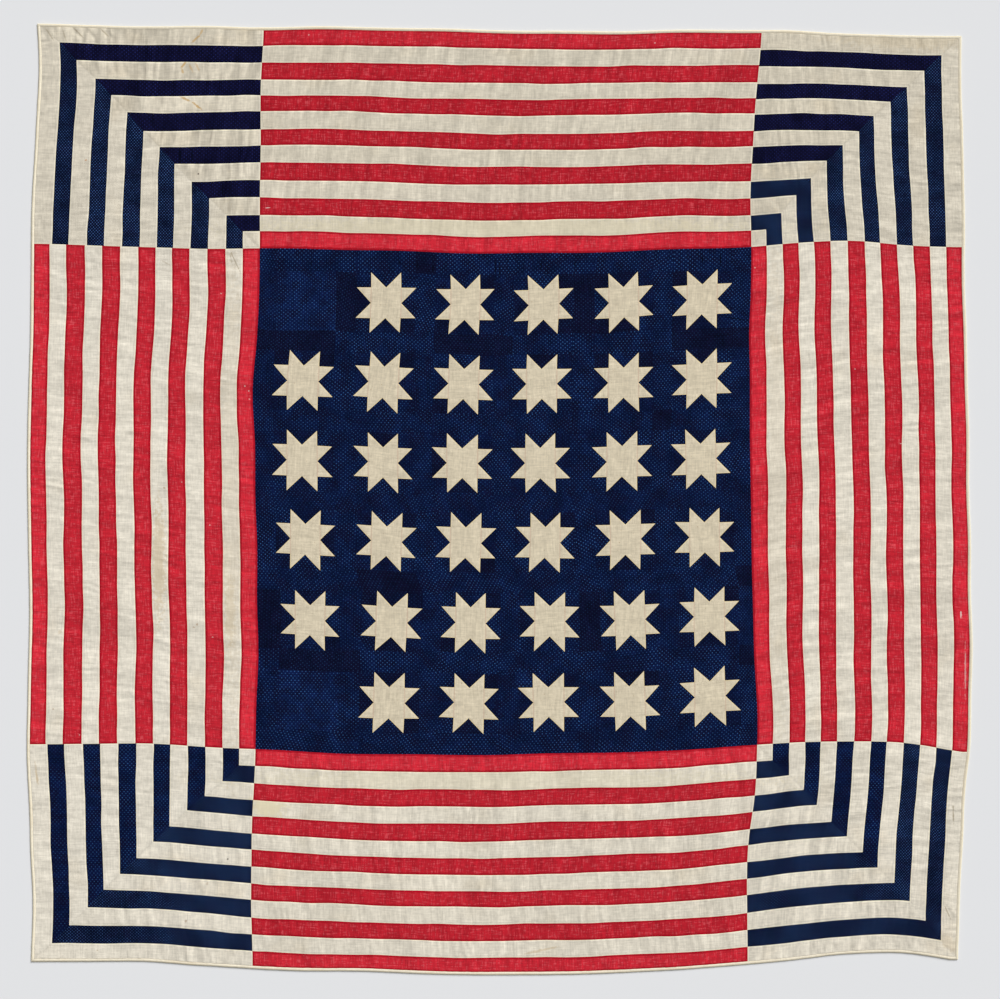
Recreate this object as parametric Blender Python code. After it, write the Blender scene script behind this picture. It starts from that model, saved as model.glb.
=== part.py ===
"""Star quilt blanket, spread flat with its top side up.

A field of indigo print, set with pieced eight-pointed stars, lies inside four striped
borders. Four corner blocks carry the stripes round in mitred L shapes, and a narrow
binding closes the edge. Metres, +Z up, the underside at z = 0, the origin under the
middle of the quilt. The head of the quilt is at +Y.
"""

import math

import bmesh
import bpy
import numpy as np

MM = 0.001

# Sewn sizes, in millimetres
FIELD_WIDTH = 1110.0
FIELD_HEIGHT = 1122.0
BORDER_DEPTH = 495.0
BINDING_WIDTH = 7.0
PIECE_GAP = 0.3
QUILT_CENTRE = (0.83, 0.86)  # middle of the uneven outline, from the middle of the field

# Finished widths of the strips, in millimetres, from the binding to the field. The outermost
# one lies partly under the binding. Together they are stretched to the border's depth.
STRIP_WIDTHS = {
    "head": (34.5, 37.5, 39.0, 35.5, 35.5, 40.0, 36.0, 38.5, 40.5, 39.0, 40.0, 36.0, 38.5),
    "foot": (31.5, 37.0, 37.5, 39.0, 35.5, 36.5, 38.0, 36.5, 40.0, 37.0, 38.0, 39.0, 39.0),
    "left": (34.5, 37.0, 41.5, 37.5, 39.5, 39.5, 39.0, 37.5, 40.0, 40.5, 40.5, 38.0, 38.0),
    "right": (33.5, 35.5, 36.5, 36.5, 38.5, 35.0, 39.0, 39.0, 37.5, 35.5, 37.0, 39.0, 37.0),
}

# How much wider a corner block's outermost strip is than that, in millimetres
CORNER_OUTER_EXTRA = {
    # corner: the arm that runs up the quilt, the arm that runs across it
    "corner_head_left": (6.0, 0.0),
    "corner_head_right": (0.0, 4.0),
    "corner_foot_left": (4.0, 0.0),
    "corner_foot_right": (0.0, 0.0),
}

# Star blocks, in millimetres: the stars stand in a square grid
GRID = 6
STAR_PITCH = 179.0
TIP = 66.6  # from a star's middle to the line that its tips reach
SQUARE = 33.8  # from a star's middle to the side of its middle square
STAR_ROWS = (
    # to the right mm, up mm, turn clockwise in degrees, row by row from the head
    (-0.5, -1.5, -2.2),
    (2.8, -1.0, -0.1),
    (-1.9, -0.1, 0.3),
    (2.5, 2.7, 0.7),
    (10.8, 2.9, 0.9),
    (6.0, 1.4, 0.1),
)
STAR_COLUMNS = (
    # to the right mm, turn clockwise in degrees, column by column from the left
    (0.4, 0.5),
    (1.6, 1.5),
    (0.5, 1.6),
    (-1.9, 0.6),
    (0.6, -0.4),
    (-1.2, 0.3),
)
BARE_BLOCKS = ((0, 0), (0, 5))  # column and row: blocks of plain print without a star
STAR_STRAY = 1.2  # how far a hand-sewn star sits from its place
STAR_TURN = 0.6  # degrees either way
SEED = 1890

# Heights above the underside, in millimetres
SEAM_HEIGHT = 2.3
CREST_HEIGHT = 3.7
LOWEST_CREST = 3.3
SMALL_RISE = 1.0  # of the small star pieces, over their seams

# Shoulders, where the cloth comes up from a seam to its full height
SHOULDER = 6.0
SASH_SHOULDER_SHARE = 0.25  # of the way from a sash's rim to its middle
ARM_SHOULDER_SHARE = 0.3  # the most that one takes of a short corner strip

# Stations along a corner strip between its shoulders, as shares of the way
ARM_SHARES = (0.0, 0.34, 0.67, 1.0)

# Section of the binding from its seam out to its fold
BINDING_SECTION = (
    # share of the width, height mm
    (0.0, 2.3),
    (0.25, 3.3),
    (0.6, 3.4),
    (0.88, 2.7),
    (1.0, 1.4),
)

# How far the quilt's long lines stray from straight, in millimetres. Low is the left side
# of a line up the quilt, and the foot side of a line across it. A bow is how far the middle
# of a border's strips lies off its place halfway between the two seams along them.
LINE_COLUMNS = ("station", "low_edge", "low_bow", "low_seam", "high_seam", "high_bow", "high_edge")
LINES_UP = (
    # The station is a height on the quilt, and the lines stray to the right.
    (1053.0, 22.0, 5.0, 27.0, 32.0, -25.0, -23.0),
    (940.0, 25.5, 5.0, 22.0, 24.0, -25.0, -23.0),
    (815.0, 20.0, 4.5, 19.0, 14.0, -18.0, -20.0),
    (690.0, 12.5, 2.5, 19.0, 8.0, -14.5, -16.0),
    (560.0, 8.5, 2.5, 17.0, 8.0, -6.0, -15.0),
    (440.0, 7.0, 2.0, 18.0, 7.0, -3.0, -13.0),
    (355.0, 6.0, 2.2, 12.0, 3.0, -0.5, -11.0),
    (265.0, 3.0, 2.9, 5.0, 5.0, -0.5, -8.0),
    (110.0, 0.0, 1.3, 7.0, 6.0, 1.3, -6.0),
    (-45.0, 1.0, 0.6, 10.0, 9.0, 1.6, -4.0),
    (-200.0, 4.5, -0.6, 12.0, 11.0, -1.0, -1.0),
    (-360.0, 3.5, 0.6, 14.0, 15.0, -3.6, 2.0),
    (-555.0, -2.0, 5.0, 9.0, 22.0, -3.0, -3.0),
    (-660.0, 1.0, 6.0, 6.0, 18.0, -1.0, -12.0),
    (-785.0, 5.5, 6.0, 0.0, 4.0, -1.0, -20.0),
    (-905.0, 11.5, 6.0, -1.0, -1.0, -1.0, -25.0),
    (-1035.0, 10.0, 6.0, 1.0, 2.0, -1.0, -31.0),
)
LINES_ACROSS = (
    # The station is a place across the quilt, and the lines stray towards its head.
    (-1040.0, 29.0, 11.0, 14.0, 12.0, -4.0, 3.0),
    (-915.0, 30.0, 11.0, 16.0, 8.0, -4.0, 0.0),
    (-795.0, 30.0, 8.5, 15.0, 5.0, -6.5, -2.0),
    (-670.0, 20.5, 7.5, 9.0, 2.0, -5.0, -2.0),
    (-545.0, 12.5, 5.5, 2.0, 2.0, -0.5, -4.0),
    (-425.0, 8.5, 1.5, -4.0, 1.0, -0.3, -4.0),
    (-290.0, 6.0, -0.7, -8.0, -3.0, -0.8, -5.0),
    (-155.0, 3.0, -2.2, -9.0, -7.0, -0.4, -8.0),
    (-20.0, -1.0, -1.8, -9.0, -9.0, -2.7, -11.0),
    (115.0, 1.0, 0.2, -6.0, -8.0, -1.3, -12.0),
    (250.0, 3.0, 1.1, -5.0, -5.0, -0.4, -13.5),
    (380.0, 9.0, 1.2, 0.0, 0.0, -1.3, -10.0),
    (565.0, 23.0, 4.5, 12.0, 5.0, -1.5, -12.0),
    (675.0, 33.0, 9.5, 20.0, 14.0, -2.3, -13.0),
    (795.0, 46.5, 10.5, 20.0, 18.0, -0.8, -18.0),
    (920.0, 50.0, 10.5, 16.0, 10.0, -2.3, -23.0),
    (1035.0, 33.0, 11.5, -3.0, 5.0, -2.5, -22.5),
)

# Slow waves in the hand-sewn seams, and in the height of the cloth
SEAM_WAVES = (
    # length mm, direction degrees, sideways mm, upward mm, start degrees
    (310.0, 20.0, 0.7, 0.6, 40.0),
    (230.0, 75.0, 0.6, -0.6, 160.0),
    (170.0, 130.0, 0.5, 0.5, 250.0),
)
HEIGHT_WAVES = (
    # length mm, direction degrees, height mm, start degrees
    (420.0, 35.0, 0.16, 10.0),
    (260.0, 100.0, 0.12, 200.0),
    (150.0, 160.0, 0.10, 75.0),
)

# Colour and roughness of each cloth
CLOTHS = {
    "indigo_print": ((0.012, 0.022, 0.070, 1.0), 0.88),
    "red_strips": ((0.560, 0.035, 0.055, 1.0), 0.88),
    "indigo_strips": ((0.016, 0.026, 0.075, 1.0), 0.88),
    "cream_binding": ((0.690, 0.610, 0.440, 1.0), 0.90),
}

SHARP_ANGLE = math.radians(40)  # an edge that turns more than this is shaded sharp

SEAM_X = FIELD_WIDTH / 2
SEAM_Y = FIELD_HEIGHT / 2
EDGE_X = SEAM_X + BORDER_DEPTH + BINDING_WIDTH
EDGE_Y = SEAM_Y + BORDER_DEPTH + BINDING_WIDTH


def smooth(at, stations, values):
    """A cubic through a table's points, whose slope at each comes from its neighbours."""
    order = np.argsort(stations)
    stations, values = stations[order], values[order]
    slopes = np.gradient(values, stations)
    index = np.clip(np.searchsorted(stations, at) - 1, 0, len(stations) - 2)
    span = stations[index + 1] - stations[index]
    t = np.clip((at - stations[index]) / span, 0.0, 1.0)
    return (
        values[index] * (1 + 2 * t) * (1 - t) ** 2
        + slopes[index] * span * t * (1 - t) ** 2
        + values[index + 1] * t * t * (3 - 2 * t)
        + slopes[index + 1] * span * t * t * (t - 1)
    )


def strays_at(table, station):
    """The strays of a table's long lines at a station, by the names of their columns."""
    column = dict(zip(LINE_COLUMNS, np.array(table).T))
    return {name: smooth(station, column["station"], column[name]) for name in LINE_COLUMNS[1:]}


def long_lines(table, station, seam, edge):
    """Where the six long lines lie: edge, binding seam and long seam, and the same beyond."""
    stray = strays_at(table, station)
    low_edge = stray["low_edge"] - edge
    high_edge = stray["high_edge"] + edge
    return np.array(
        (
            low_edge,
            low_edge + BINDING_WIDTH,
            stray["low_seam"] - seam,
            stray["high_seam"] + seam,
            high_edge - BINDING_WIDTH,
            high_edge,
        )
    )


def bow(table, station, place):
    """How far a line between two long lines lies aside, with its border's middle."""
    stray = strays_at(table, station)
    low = np.clip(place - 1, 0, 1)
    high = np.clip(place - 3, 0, 1)
    return 4 * (stray["low_bow"] * low * (1 - low) + stray["high_bow"] * high * (1 - high))


def wave_phase(x, y, length, direction, start):
    angle = math.radians(direction)
    along = x * math.cos(angle) + y * math.sin(angle)
    return 2 * math.pi * along / length + math.radians(start)


def on_quilt(column, row):
    """A point in millimetres from its place between the long lines, counted from 0 to 5."""
    lines = np.arange(6)
    flat_x = np.interp(column, lines, long_lines(LINES_UP, 0.0, SEAM_X, EDGE_X))
    flat_y = np.interp(row, lines, long_lines(LINES_ACROSS, 0.0, SEAM_Y, EDGE_Y))
    x = np.interp(column, lines, long_lines(LINES_UP, flat_y, SEAM_X, EDGE_X))
    y = np.interp(row, lines, long_lines(LINES_ACROSS, flat_x, SEAM_Y, EDGE_Y))
    x += bow(LINES_UP, flat_y, column)
    y += bow(LINES_ACROSS, flat_x, row)
    for length, direction, sideways, upward, start in SEAM_WAVES:
        phase = wave_phase(flat_x, flat_y, length, direction, start)
        x += sideways * math.sin(phase)
        y += upward * math.cos(phase)
    return x - QUILT_CENTRE[0], y - QUILT_CENTRE[1]


def crest(x, y):
    """Full height of the cloth, a little uneven from place to place."""
    height = CREST_HEIGHT
    for length, direction, rise, start in HEIGHT_WAVES:
        height += rise * math.sin(wave_phase(x, y, length, direction, start))
    return max(height, LOWEST_CREST)


def from_low_edge(depth):
    """Place of a line at a depth into the left or foot border, between long lines 1 and 2."""
    clear = PIECE_GAP / 2 / BORDER_DEPTH
    return 1 + clear + depth / BORDER_DEPTH * (1 - 2 * clear)


def from_high_edge(depth):
    return 5 - from_low_edge(depth)


def across_field(distance, size):
    """Place of a line at a distance from the middle of the field, between lines 2 and 3."""
    clear = PIECE_GAP / 2 / size
    return 2 + clear + (distance / size + 0.5) * (1 - 2 * clear)


def strip_lines(side, outer_extra=0.0):
    """Depths of the lines along one side's strips, and whether each one is a seam."""
    outermost, *others = STRIP_WIDTHS[side]
    widths = [outermost + outer_extra, *others]
    lines = []
    depth = 0.0
    for cut in widths:
        width = cut * BORDER_DEPTH / sum(widths)
        lines.append((depth, True))
        lines.append((depth + SHOULDER, False))
        lines.append((depth + width - SHOULDER, False))
        depth += width
    lines.append((BORDER_DEPTH, True))
    return lines


def block_sides():
    """Distances of the star blocks' sides from the middle of the field."""
    return [
        (number - (GRID - 1) / 2) * STAR_PITCH + side
        for number in range(GRID)
        for side in (-TIP, TIP)
    ]


def arm_stations(length):
    """Stations along one arm of a corner strip, from its mitre to its end seam."""
    shoulder = min(SHOULDER, ARM_SHOULDER_SHARE * length)
    way = length - 2 * shoulder
    return [0.0, *(shoulder + way * share for share in ARM_SHARES), length]


def middle_of(loop):
    total = loop[0].co * 0
    for vertex in loop:
        total = total + vertex.co
    return total / len(loop)


class Piece:
    """One sewn piece: its top side is drawn face by face, then closed below."""

    def __init__(self, name, material, parent):
        self.name = name
        self.material = material
        self.parent = parent
        self.mesh = bmesh.new()
        self.points = {}

    def point(self, column, row, seam):
        """The shared vertex at a place on the quilt, in a seam or on the full cloth."""
        key = (round(column, 6), round(row, 6))
        if key not in self.points:
            x, y = on_quilt(column, row)
            height = SEAM_HEIGHT if seam else crest(x, y)
            self.points[key] = self.mesh.verts.new((x, y, height))
        return self.points[key]

    def face(self, corners):
        """A face between these vertices, unless some of them fall together."""
        loop = list(dict.fromkeys(corners))
        if len(loop) > 2:
            self.mesh.faces.new(loop)

    def grid(self, rows):
        for near, far in zip(rows, rows[1:]):
            for corners in zip(near, near[1:], far[1:], far):
                self.face(corners)

    def tuft(self, loop, rise):
        """A small patch, drawn up to a low point over its middle."""
        top = middle_of(loop)
        top.z = SEAM_HEIGHT + rise
        apex = self.mesh.verts.new(top)
        for near, far in zip(loop, loop[1:] + loop[:1]):
            self.face((near, far, apex))

    def pillow(self, loop, share):
        """A patch that rises over a shoulder and then stays at its full height."""
        middle = middle_of(loop)
        ring = []
        for vertex in loop:
            place = vertex.co.lerp(middle, share)
            place.z = crest(place.x, place.y)
            ring.append(self.mesh.verts.new(place))
        for corners in zip(loop, loop[1:] + loop[:1], ring[1:] + ring[:1], ring):
            self.face(corners)
        self.tuft(ring, crest(middle.x, middle.y) - SEAM_HEIGHT)

    def close_below(self):
        """Side walls from the rim down to the floor, and a flat underside."""
        bmesh.ops.recalc_face_normals(self.mesh, faces=self.mesh.faces)
        rim = [edge for edge in self.mesh.edges if edge.is_boundary]
        made = bmesh.ops.extrude_edge_only(self.mesh, edges=rim)["geom"]
        low = [part for part in made if isinstance(part, bmesh.types.BMVert)]
        foot = [part for part in made if isinstance(part, bmesh.types.BMEdge)]
        for vertex in low:
            vertex.co.z = 0.0
        under = self.mesh.verts.new(middle_of(low))
        for edge in [edge for edge in foot if edge.is_boundary]:
            self.mesh.faces.new((*edge.verts, under))

    def finish(self):
        """Turns the drawing into an object that stands on its own middle."""
        bmesh.ops.recalc_face_normals(self.mesh, faces=self.mesh.faces)
        places = np.array([vertex.co for vertex in self.mesh.verts])
        middle = (places.min(axis=0) + places.max(axis=0)) / 2
        to_middle = (-middle[0], -middle[1], 0.0)
        bmesh.ops.translate(self.mesh, verts=self.mesh.verts, vec=to_middle)
        bmesh.ops.scale(self.mesh, verts=self.mesh.verts, vec=(MM, MM, MM))
        data = bpy.data.meshes.new(self.name)
        self.mesh.to_mesh(data)
        self.mesh.free()
        data.materials.append(self.material)
        data.shade_smooth()
        data.set_sharp_from_angle(angle=SHARP_ANGLE)
        piece = bpy.data.objects.new(self.name, data)
        piece.location = (middle[0] * MM, middle[1] * MM, 0.0)
        piece.parent = self.parent
        bpy.context.collection.objects.link(piece)


def build_border(name, material, parent, side, place, length):
    """A striped border. Its strips run along the whole of the field's side."""
    half = length / 2
    stations = [-half, -half + SHOULDER, *block_sides(), half - SHOULDER, half]
    piece = Piece(name, material, parent)
    rows = []
    for depth, seam in strip_lines(side):
        row = []
        for station in stations:
            sewn = seam or abs(station) == half
            row.append(piece.point(*place(across_field(station, length), depth), sewn))
        rows.append(row)
    piece.grid(rows)
    piece.close_below()
    piece.finish()


def build_corner(name, material, parent, sides, column_at, row_at):
    """A corner block: each strip is an L, mitred where two equal seams meet."""
    up_lines, across_lines = (
        strip_lines(side, extra) for side, extra in zip(sides, CORNER_OUTER_EXTRA[name])
    )
    piece = Piece(name, material, parent)
    for upright in (False, True):
        own, other = (up_lines, across_lines) if upright else (across_lines, up_lines)
        rows = []
        for (depth, seam), (start, _) in zip(own, other):
            length = BORDER_DEPTH - start
            row = []
            for station in arm_stations(length):
                far = start + station
                across, up = (depth, far) if upright else (far, depth)
                sewn = seam or station in (0.0, length)
                row.append(piece.point(column_at(across), row_at(up), sewn))
            rows.append(row)
        piece.grid(rows)
    piece.close_below()
    piece.finish()


def build_binding(name, material, parent, place, length):
    """A folded strip along one edge, mitred where it meets the next ones."""
    low = [from_low_edge(depth) for depth in arm_stations(BORDER_DEPTH)[1:-1]]
    side = [-length / 2, *block_sides(), length / 2]
    field = [across_field(distance, length) for distance in side]
    high = [5 - along for along in reversed(low)]
    clear = PIECE_GAP / 2 / BINDING_WIDTH
    mitre = clear * math.sqrt(2)
    piece = Piece(name, material, parent)
    columns = []
    for share, height in [(0.0, 0.0), *BINDING_SECTION, (1.0, 0.0)]:
        out = clear + share * (1 - clear)
        column = []
        for along in [1 - out + mitre, *low, *field, *high, 4 + out - mitre]:
            x, y = on_quilt(*place(along, out))
            column.append(piece.mesh.verts.new((x, y, height)))
        columns.append(column)
    piece.grid(columns + columns[:1])
    piece.face([column[0] for column in columns])
    piece.face([column[-1] for column in columns])
    piece.finish()


def block_place(column, row, right, up, strays):
    """Place on the quilt of a point of a star block. Outside the grid it lies on the rim."""
    x = (column - (GRID - 1) / 2) * STAR_PITCH + right
    y = ((GRID - 1) / 2 - row) * STAR_PITCH + up
    if 0 <= column < GRID and 0 <= row < GRID:
        stray_x, stray_y, turn = strays[row][column]
        row_right, row_up, row_turn = STAR_ROWS[row]
        column_right, column_turn = STAR_COLUMNS[column]
        lean = math.sin(turn - math.radians(row_turn + column_turn))
        x += row_right + column_right + stray_x - up * lean
        y += row_up + stray_y + right * lean
    if column in (-1, GRID):
        x = math.copysign(SEAM_X, column)
    if row in (-1, GRID):
        y = -math.copysign(SEAM_Y, row)
    return across_field(x, FIELD_WIDTH), across_field(y, FIELD_HEIGHT)


def turned(points, quarters):
    """Points of a block, turned about its middle by quarter turns."""
    for _ in range(quarters):
        points = [(-up, right) for right, up in points]
    return points


def all_round(points):
    """The points of one side of a block, and the same on its other three sides."""
    return [point for quarters in range(4) for point in turned(points, quarters)]


def sash_side(number, at):
    """Points along one side of a sash. On the field's rim only its ends are marked."""
    on_rim = number in (-1, GRID)
    return [at(mark) for mark in ((-TIP, TIP) if on_rim else (-TIP, -SQUARE, SQUARE, TIP))]


def draw_star(piece, at):
    """An eight-pointed star: a middle square with two tips on each of its sides."""
    square = all_round([(SQUARE, -SQUARE), (SQUARE, 0)])
    piece.pillow([at(*point) for point in square], SHOULDER / SQUARE)
    patches = {
        "low_tip": [(SQUARE, 0), (SQUARE, -SQUARE), (TIP, -SQUARE)],
        "high_tip": [(SQUARE, 0), (TIP, SQUARE), (SQUARE, SQUARE)],
        "between_tips": [(SQUARE, 0), (TIP, -SQUARE), (TIP, SQUARE)],
        "block_corner": [(SQUARE, SQUARE), (TIP, SQUARE), (TIP, TIP), (SQUARE, TIP)],
    }
    for quarters in range(4):
        for patch in patches.values():
            piece.tuft([at(*point) for point in turned(patch, quarters)], SMALL_RISE)


def draw_sashes(piece, at):
    """The plain strips between the blocks, and the small squares where they cross."""
    for row in range(-1, GRID):
        for column in range(-1, GRID):
            crossing = [
                at(column, row, TIP, -TIP),
                at(column, row + 1, TIP, TIP),
                at(column + 1, row + 1, -TIP, TIP),
                at(column + 1, row, -TIP, -TIP),
            ]
            piece.tuft(crossing, SMALL_RISE)
            if row >= 0:
                near = sash_side(column, lambda up: at(column, row, TIP, up))
                far = sash_side(column + 1, lambda up: at(column + 1, row, -TIP, up))
                piece.pillow(near + far[::-1], SASH_SHOULDER_SHARE)
            if column >= 0:
                near = sash_side(row, lambda right: at(column, row, right, -TIP))
                far = sash_side(row + 1, lambda right: at(column, row + 1, right, TIP))
                piece.pillow(near + far[::-1], SASH_SHOULDER_SHARE)


def build_field(name, material, parent):
    """The star field: a grid of star blocks with sashes of the same print between them."""
    chance = np.random.default_rng(SEED)
    strays = chance.uniform(-1, 1, (GRID, GRID, 3))
    strays *= (STAR_STRAY, STAR_STRAY, math.radians(STAR_TURN))
    piece = Piece(name, material, parent)

    def at(column, row, right, up):
        return piece.point(*block_place(column, row, right, up, strays), True)

    for row in range(GRID):
        for column in range(GRID):
            if (column, row) in BARE_BLOCKS:
                rim = all_round([(TIP, -TIP), (TIP, -SQUARE), (TIP, SQUARE)])
                piece.pillow([at(column, row, *point) for point in rim], SHOULDER / TIP)
            else:
                draw_star(piece, lambda right, up: at(column, row, right, up))
    draw_sashes(piece, at)
    piece.close_below()
    piece.finish()


def make_cloth(name):
    colour, roughness = CLOTHS[name]
    material = bpy.data.materials.new(name)
    material.use_nodes = True
    shader = material.node_tree.nodes["Principled BSDF"]
    shader.inputs["Base Color"].default_value = colour
    shader.inputs["Roughness"].default_value = roughness
    shader.inputs["Metallic"].default_value = 0.0
    return material


def main():
    for old in list(bpy.data.objects):
        bpy.data.objects.remove(old)
    quilt = bpy.data.objects.new("quilt", None)
    bpy.context.collection.objects.link(quilt)
    cloths = {name: make_cloth(name) for name in CLOTHS}

    build_field("star_field", cloths["indigo_print"], quilt)

    borders = {
        "head": (lambda along, depth: (along, from_high_edge(depth)), FIELD_WIDTH),
        "foot": (lambda along, depth: (along, from_low_edge(depth)), FIELD_WIDTH),
        "left": (lambda along, depth: (from_low_edge(depth), along), FIELD_HEIGHT),
        "right": (lambda along, depth: (from_high_edge(depth), along), FIELD_HEIGHT),
    }
    for side, (place, length) in borders.items():
        build_border("border_" + side, cloths["red_strips"], quilt, side, place, length)

    rows = {"head": from_high_edge, "foot": from_low_edge}
    columns = {"left": from_low_edge, "right": from_high_edge}
    for end, row_at in rows.items():
        for side, column_at in columns.items():
            name = f"corner_{end}_{side}"
            build_corner(name, cloths["indigo_strips"], quilt, (side, end), column_at, row_at)

    bindings = {
        "head": (lambda along, out: (along, 4 + out), FIELD_WIDTH),
        "foot": (lambda along, out: (along, 1 - out), FIELD_WIDTH),
        "left": (lambda along, out: (1 - out, along), FIELD_HEIGHT),
        "right": (lambda along, out: (4 + out, along), FIELD_HEIGHT),
    }
    for side, (place, length) in bindings.items():
        build_binding("binding_" + side, cloths["cream_binding"], quilt, place, length)


main()
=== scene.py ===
"""Star quilt blanket: the finished cloths of the quilt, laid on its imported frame.

Every panel of the frame gets a fine cloth of its own: each strip and each star patch is
drawn along its sewn lines, sinks into its seams, and carries its print, weave and wear.
"""

import math

import bmesh
import bpy
import numpy as np
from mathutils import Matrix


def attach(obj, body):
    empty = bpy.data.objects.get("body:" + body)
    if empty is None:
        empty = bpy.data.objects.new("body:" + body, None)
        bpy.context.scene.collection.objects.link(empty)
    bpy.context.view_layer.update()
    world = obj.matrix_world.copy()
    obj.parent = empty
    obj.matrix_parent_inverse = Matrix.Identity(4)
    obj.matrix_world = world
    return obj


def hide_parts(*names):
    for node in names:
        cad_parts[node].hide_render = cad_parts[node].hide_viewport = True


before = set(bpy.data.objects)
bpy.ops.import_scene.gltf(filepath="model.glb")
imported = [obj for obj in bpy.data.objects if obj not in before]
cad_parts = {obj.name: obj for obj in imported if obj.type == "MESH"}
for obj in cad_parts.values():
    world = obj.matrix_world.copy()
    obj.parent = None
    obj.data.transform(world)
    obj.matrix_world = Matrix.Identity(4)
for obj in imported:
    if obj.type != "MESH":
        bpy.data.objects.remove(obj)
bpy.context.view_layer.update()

MM = 0.001

# Sewn sizes, in millimetres, the same as the solids have, but for a narrower gap
FIELD_WIDTH = 1110.0
FIELD_HEIGHT = 1122.0
BORDER_DEPTH = 495.0
BINDING_WIDTH = 7.0
PIECE_GAP = 0.1
QUILT_CENTRE = (0.83, 0.86)  # middle of the uneven outline, from the middle of the field

# Finished widths of the strips, in millimetres, from the binding to the field. The outermost
# one lies partly under the binding. Together they are stretched to the border's depth.
STRIP_WIDTHS = {
    "head": (34.5, 37.5, 39, 35.5, 35.5, 40, 36, 38.5, 40.5, 39, 40, 36, 38.5),
    "foot": (31.5, 37, 37.5, 39, 35.5, 36.5, 38, 36.5, 40, 37, 38, 39, 39),
    "left": (34.5, 37, 41.5, 37.5, 39.5, 39.5, 39, 37.5, 40, 40.5, 40.5, 38, 38),
    "right": (33.5, 35.5, 36.5, 36.5, 38.5, 35, 39, 39, 37.5, 35.5, 37, 39, 37),
}

# Sides of the quilt: whether each runs up it, and whether it is the head or right one
SIDES = {"head": (0, 1), "foot": (0, 0), "left": (1, 0), "right": (1, 1)}

# How much wider a corner block's outermost strip is than its border's, in millimetres
CORNER_OUTER_EXTRA = {
    # corner: the arm that runs up the quilt, the arm that runs across it
    "corner_head_left": (6.0, 0.0),
    "corner_head_right": (0.0, 4.0),
    "corner_foot_left": (4.0, 0.0),
    "corner_foot_right": (0.0, 0.0),
}

# Star blocks, in millimetres: the stars stand in a square grid
GRID = 6
STAR_PITCH = 179.0
TIP = 66.6  # from a star's middle to the line that its tips reach
SQUARE = 33.8  # from a star's middle to the side of its middle square
STAR_ROWS = (
    # to the right mm, up mm, turn clockwise in degrees, row by row from the head
    (-0.5, -1.5, -2.2),
    (2.8, -1.0, -0.1),
    (-1.9, -0.1, 0.3),
    (2.5, 2.7, 0.7),
    (10.8, 2.9, 0.9),
    (6.0, 1.4, 0.1),
)
STAR_COLUMNS = (
    # to the right mm, turn clockwise in degrees, column by column from the left
    (0.4, 0.5),
    (1.6, 1.5),
    (0.5, 1.6),
    (-1.9, 0.6),
    (0.6, -0.4),
    (-1.2, 0.3),
)
BARE_BLOCKS = ((0, 0), (0, 5))  # column and row: blocks of plain print without a star
STAR_STRAY = 1.2  # how far a hand-sewn star sits from its place
STAR_TURN = 0.6  # degrees either way
SEED = 1890

# Patches of the field cut from nearly black print. They lie to the right of a column of
# blocks and below a row, counted from -1 at the rim.
DARK_PATCHES = {
    "sash_up": ((0, 0), (3, 0), (-1, 4), (3, 4)),
    "sash_across": ((0, 0), (2, 0), (5, 0), (1, 3), (0, 4)),
    "crossing": ((1, -1), (-1, 0), (2, 0), (5, 0), (4, 1), (0, 4), (5, 3), (5, 4)),
}
# Column and row of the star, then its corner: quarter turns from the right one at its head
DARK_SQUARES = ((0, 1, 0), (0, 1, 1), (2, 0, 2), (2, 1, 2), (3, 0, 0), (3, 0, 3), (5, 0, 1))

# How far the quilt's long lines stray from straight, in millimetres. Low is the left side
# of a line up the quilt, and the foot side of a line across it. A bow is how far the middle
# of a border's strips lies off its place halfway between the two seams along them.
LINE_COLUMNS = "station low_edge low_bow low_seam high_seam high_bow high_edge".split()
LINES_UP = (
    # The station is a height on the quilt, and the lines stray to the right.
    (1053, 22, 5, 27, 32, -25, -23),
    (940, 25.5, 5, 22, 24, -25, -23),
    (815, 20, 4.5, 19, 14, -18, -20),
    (690, 12.5, 2.5, 19, 8, -14.5, -16),
    (560, 8.5, 2.5, 17, 8, -6, -15),
    (440, 7, 2, 18, 7, -3, -13),
    (355, 6, 2.2, 12, 3, -0.5, -11),
    (265, 3, 2.9, 5, 5, -0.5, -8),
    (110, 0, 1.3, 7, 6, 1.3, -6),
    (-45, 1, 0.6, 10, 9, 1.6, -4),
    (-200, 4.5, -0.6, 12, 11, -1, -1),
    (-360, 3.5, 0.6, 14, 15, -3.6, 2),
    (-555, -2, 5, 9, 22, -3, -3),
    (-660, 1, 6, 6, 18, -1, -12),
    (-785, 5.5, 6, 0, 4, -1, -20),
    (-905, 11.5, 6, -1, -1, -1, -25),
    (-1035, 10, 6, 1, 2, -1, -31),
)
LINES_ACROSS = (
    # The station is a place across the quilt, and the lines stray towards its head.
    (-1040, 29, 11, 14, 12, -4, 3),
    (-915, 30, 11, 16, 8, -4, 0),
    (-795, 30, 8.5, 15, 5, -6.5, -2),
    (-670, 20.5, 7.5, 9, 2, -5, -2),
    (-545, 12.5, 5.5, 2, 2, -0.5, -4),
    (-425, 8.5, 1.5, -4, 1, -0.3, -4),
    (-290, 6, -0.7, -8, -3, -0.8, -5),
    (-155, 3, -2.2, -9, -7, -0.4, -8),
    (-20, -1, -1.8, -9, -9, -2.7, -11),
    (115, 1, 0.2, -6, -8, -1.3, -12),
    (250, 3, 1.1, -5, -5, -0.4, -13.5),
    (380, 9, 1.2, 0, 0, -1.3, -10),
    (565, 23, 4.5, 12, 5, -1.5, -12),
    (675, 33, 9.5, 20, 14, -2.3, -13),
    (795, 46.5, 10.5, 20, 18, -0.8, -18),
    (920, 50, 10.5, 16, 10, -2.3, -23),
    (1035, 33, 11.5, -3, 5, -2.5, -22.5),
)

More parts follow.
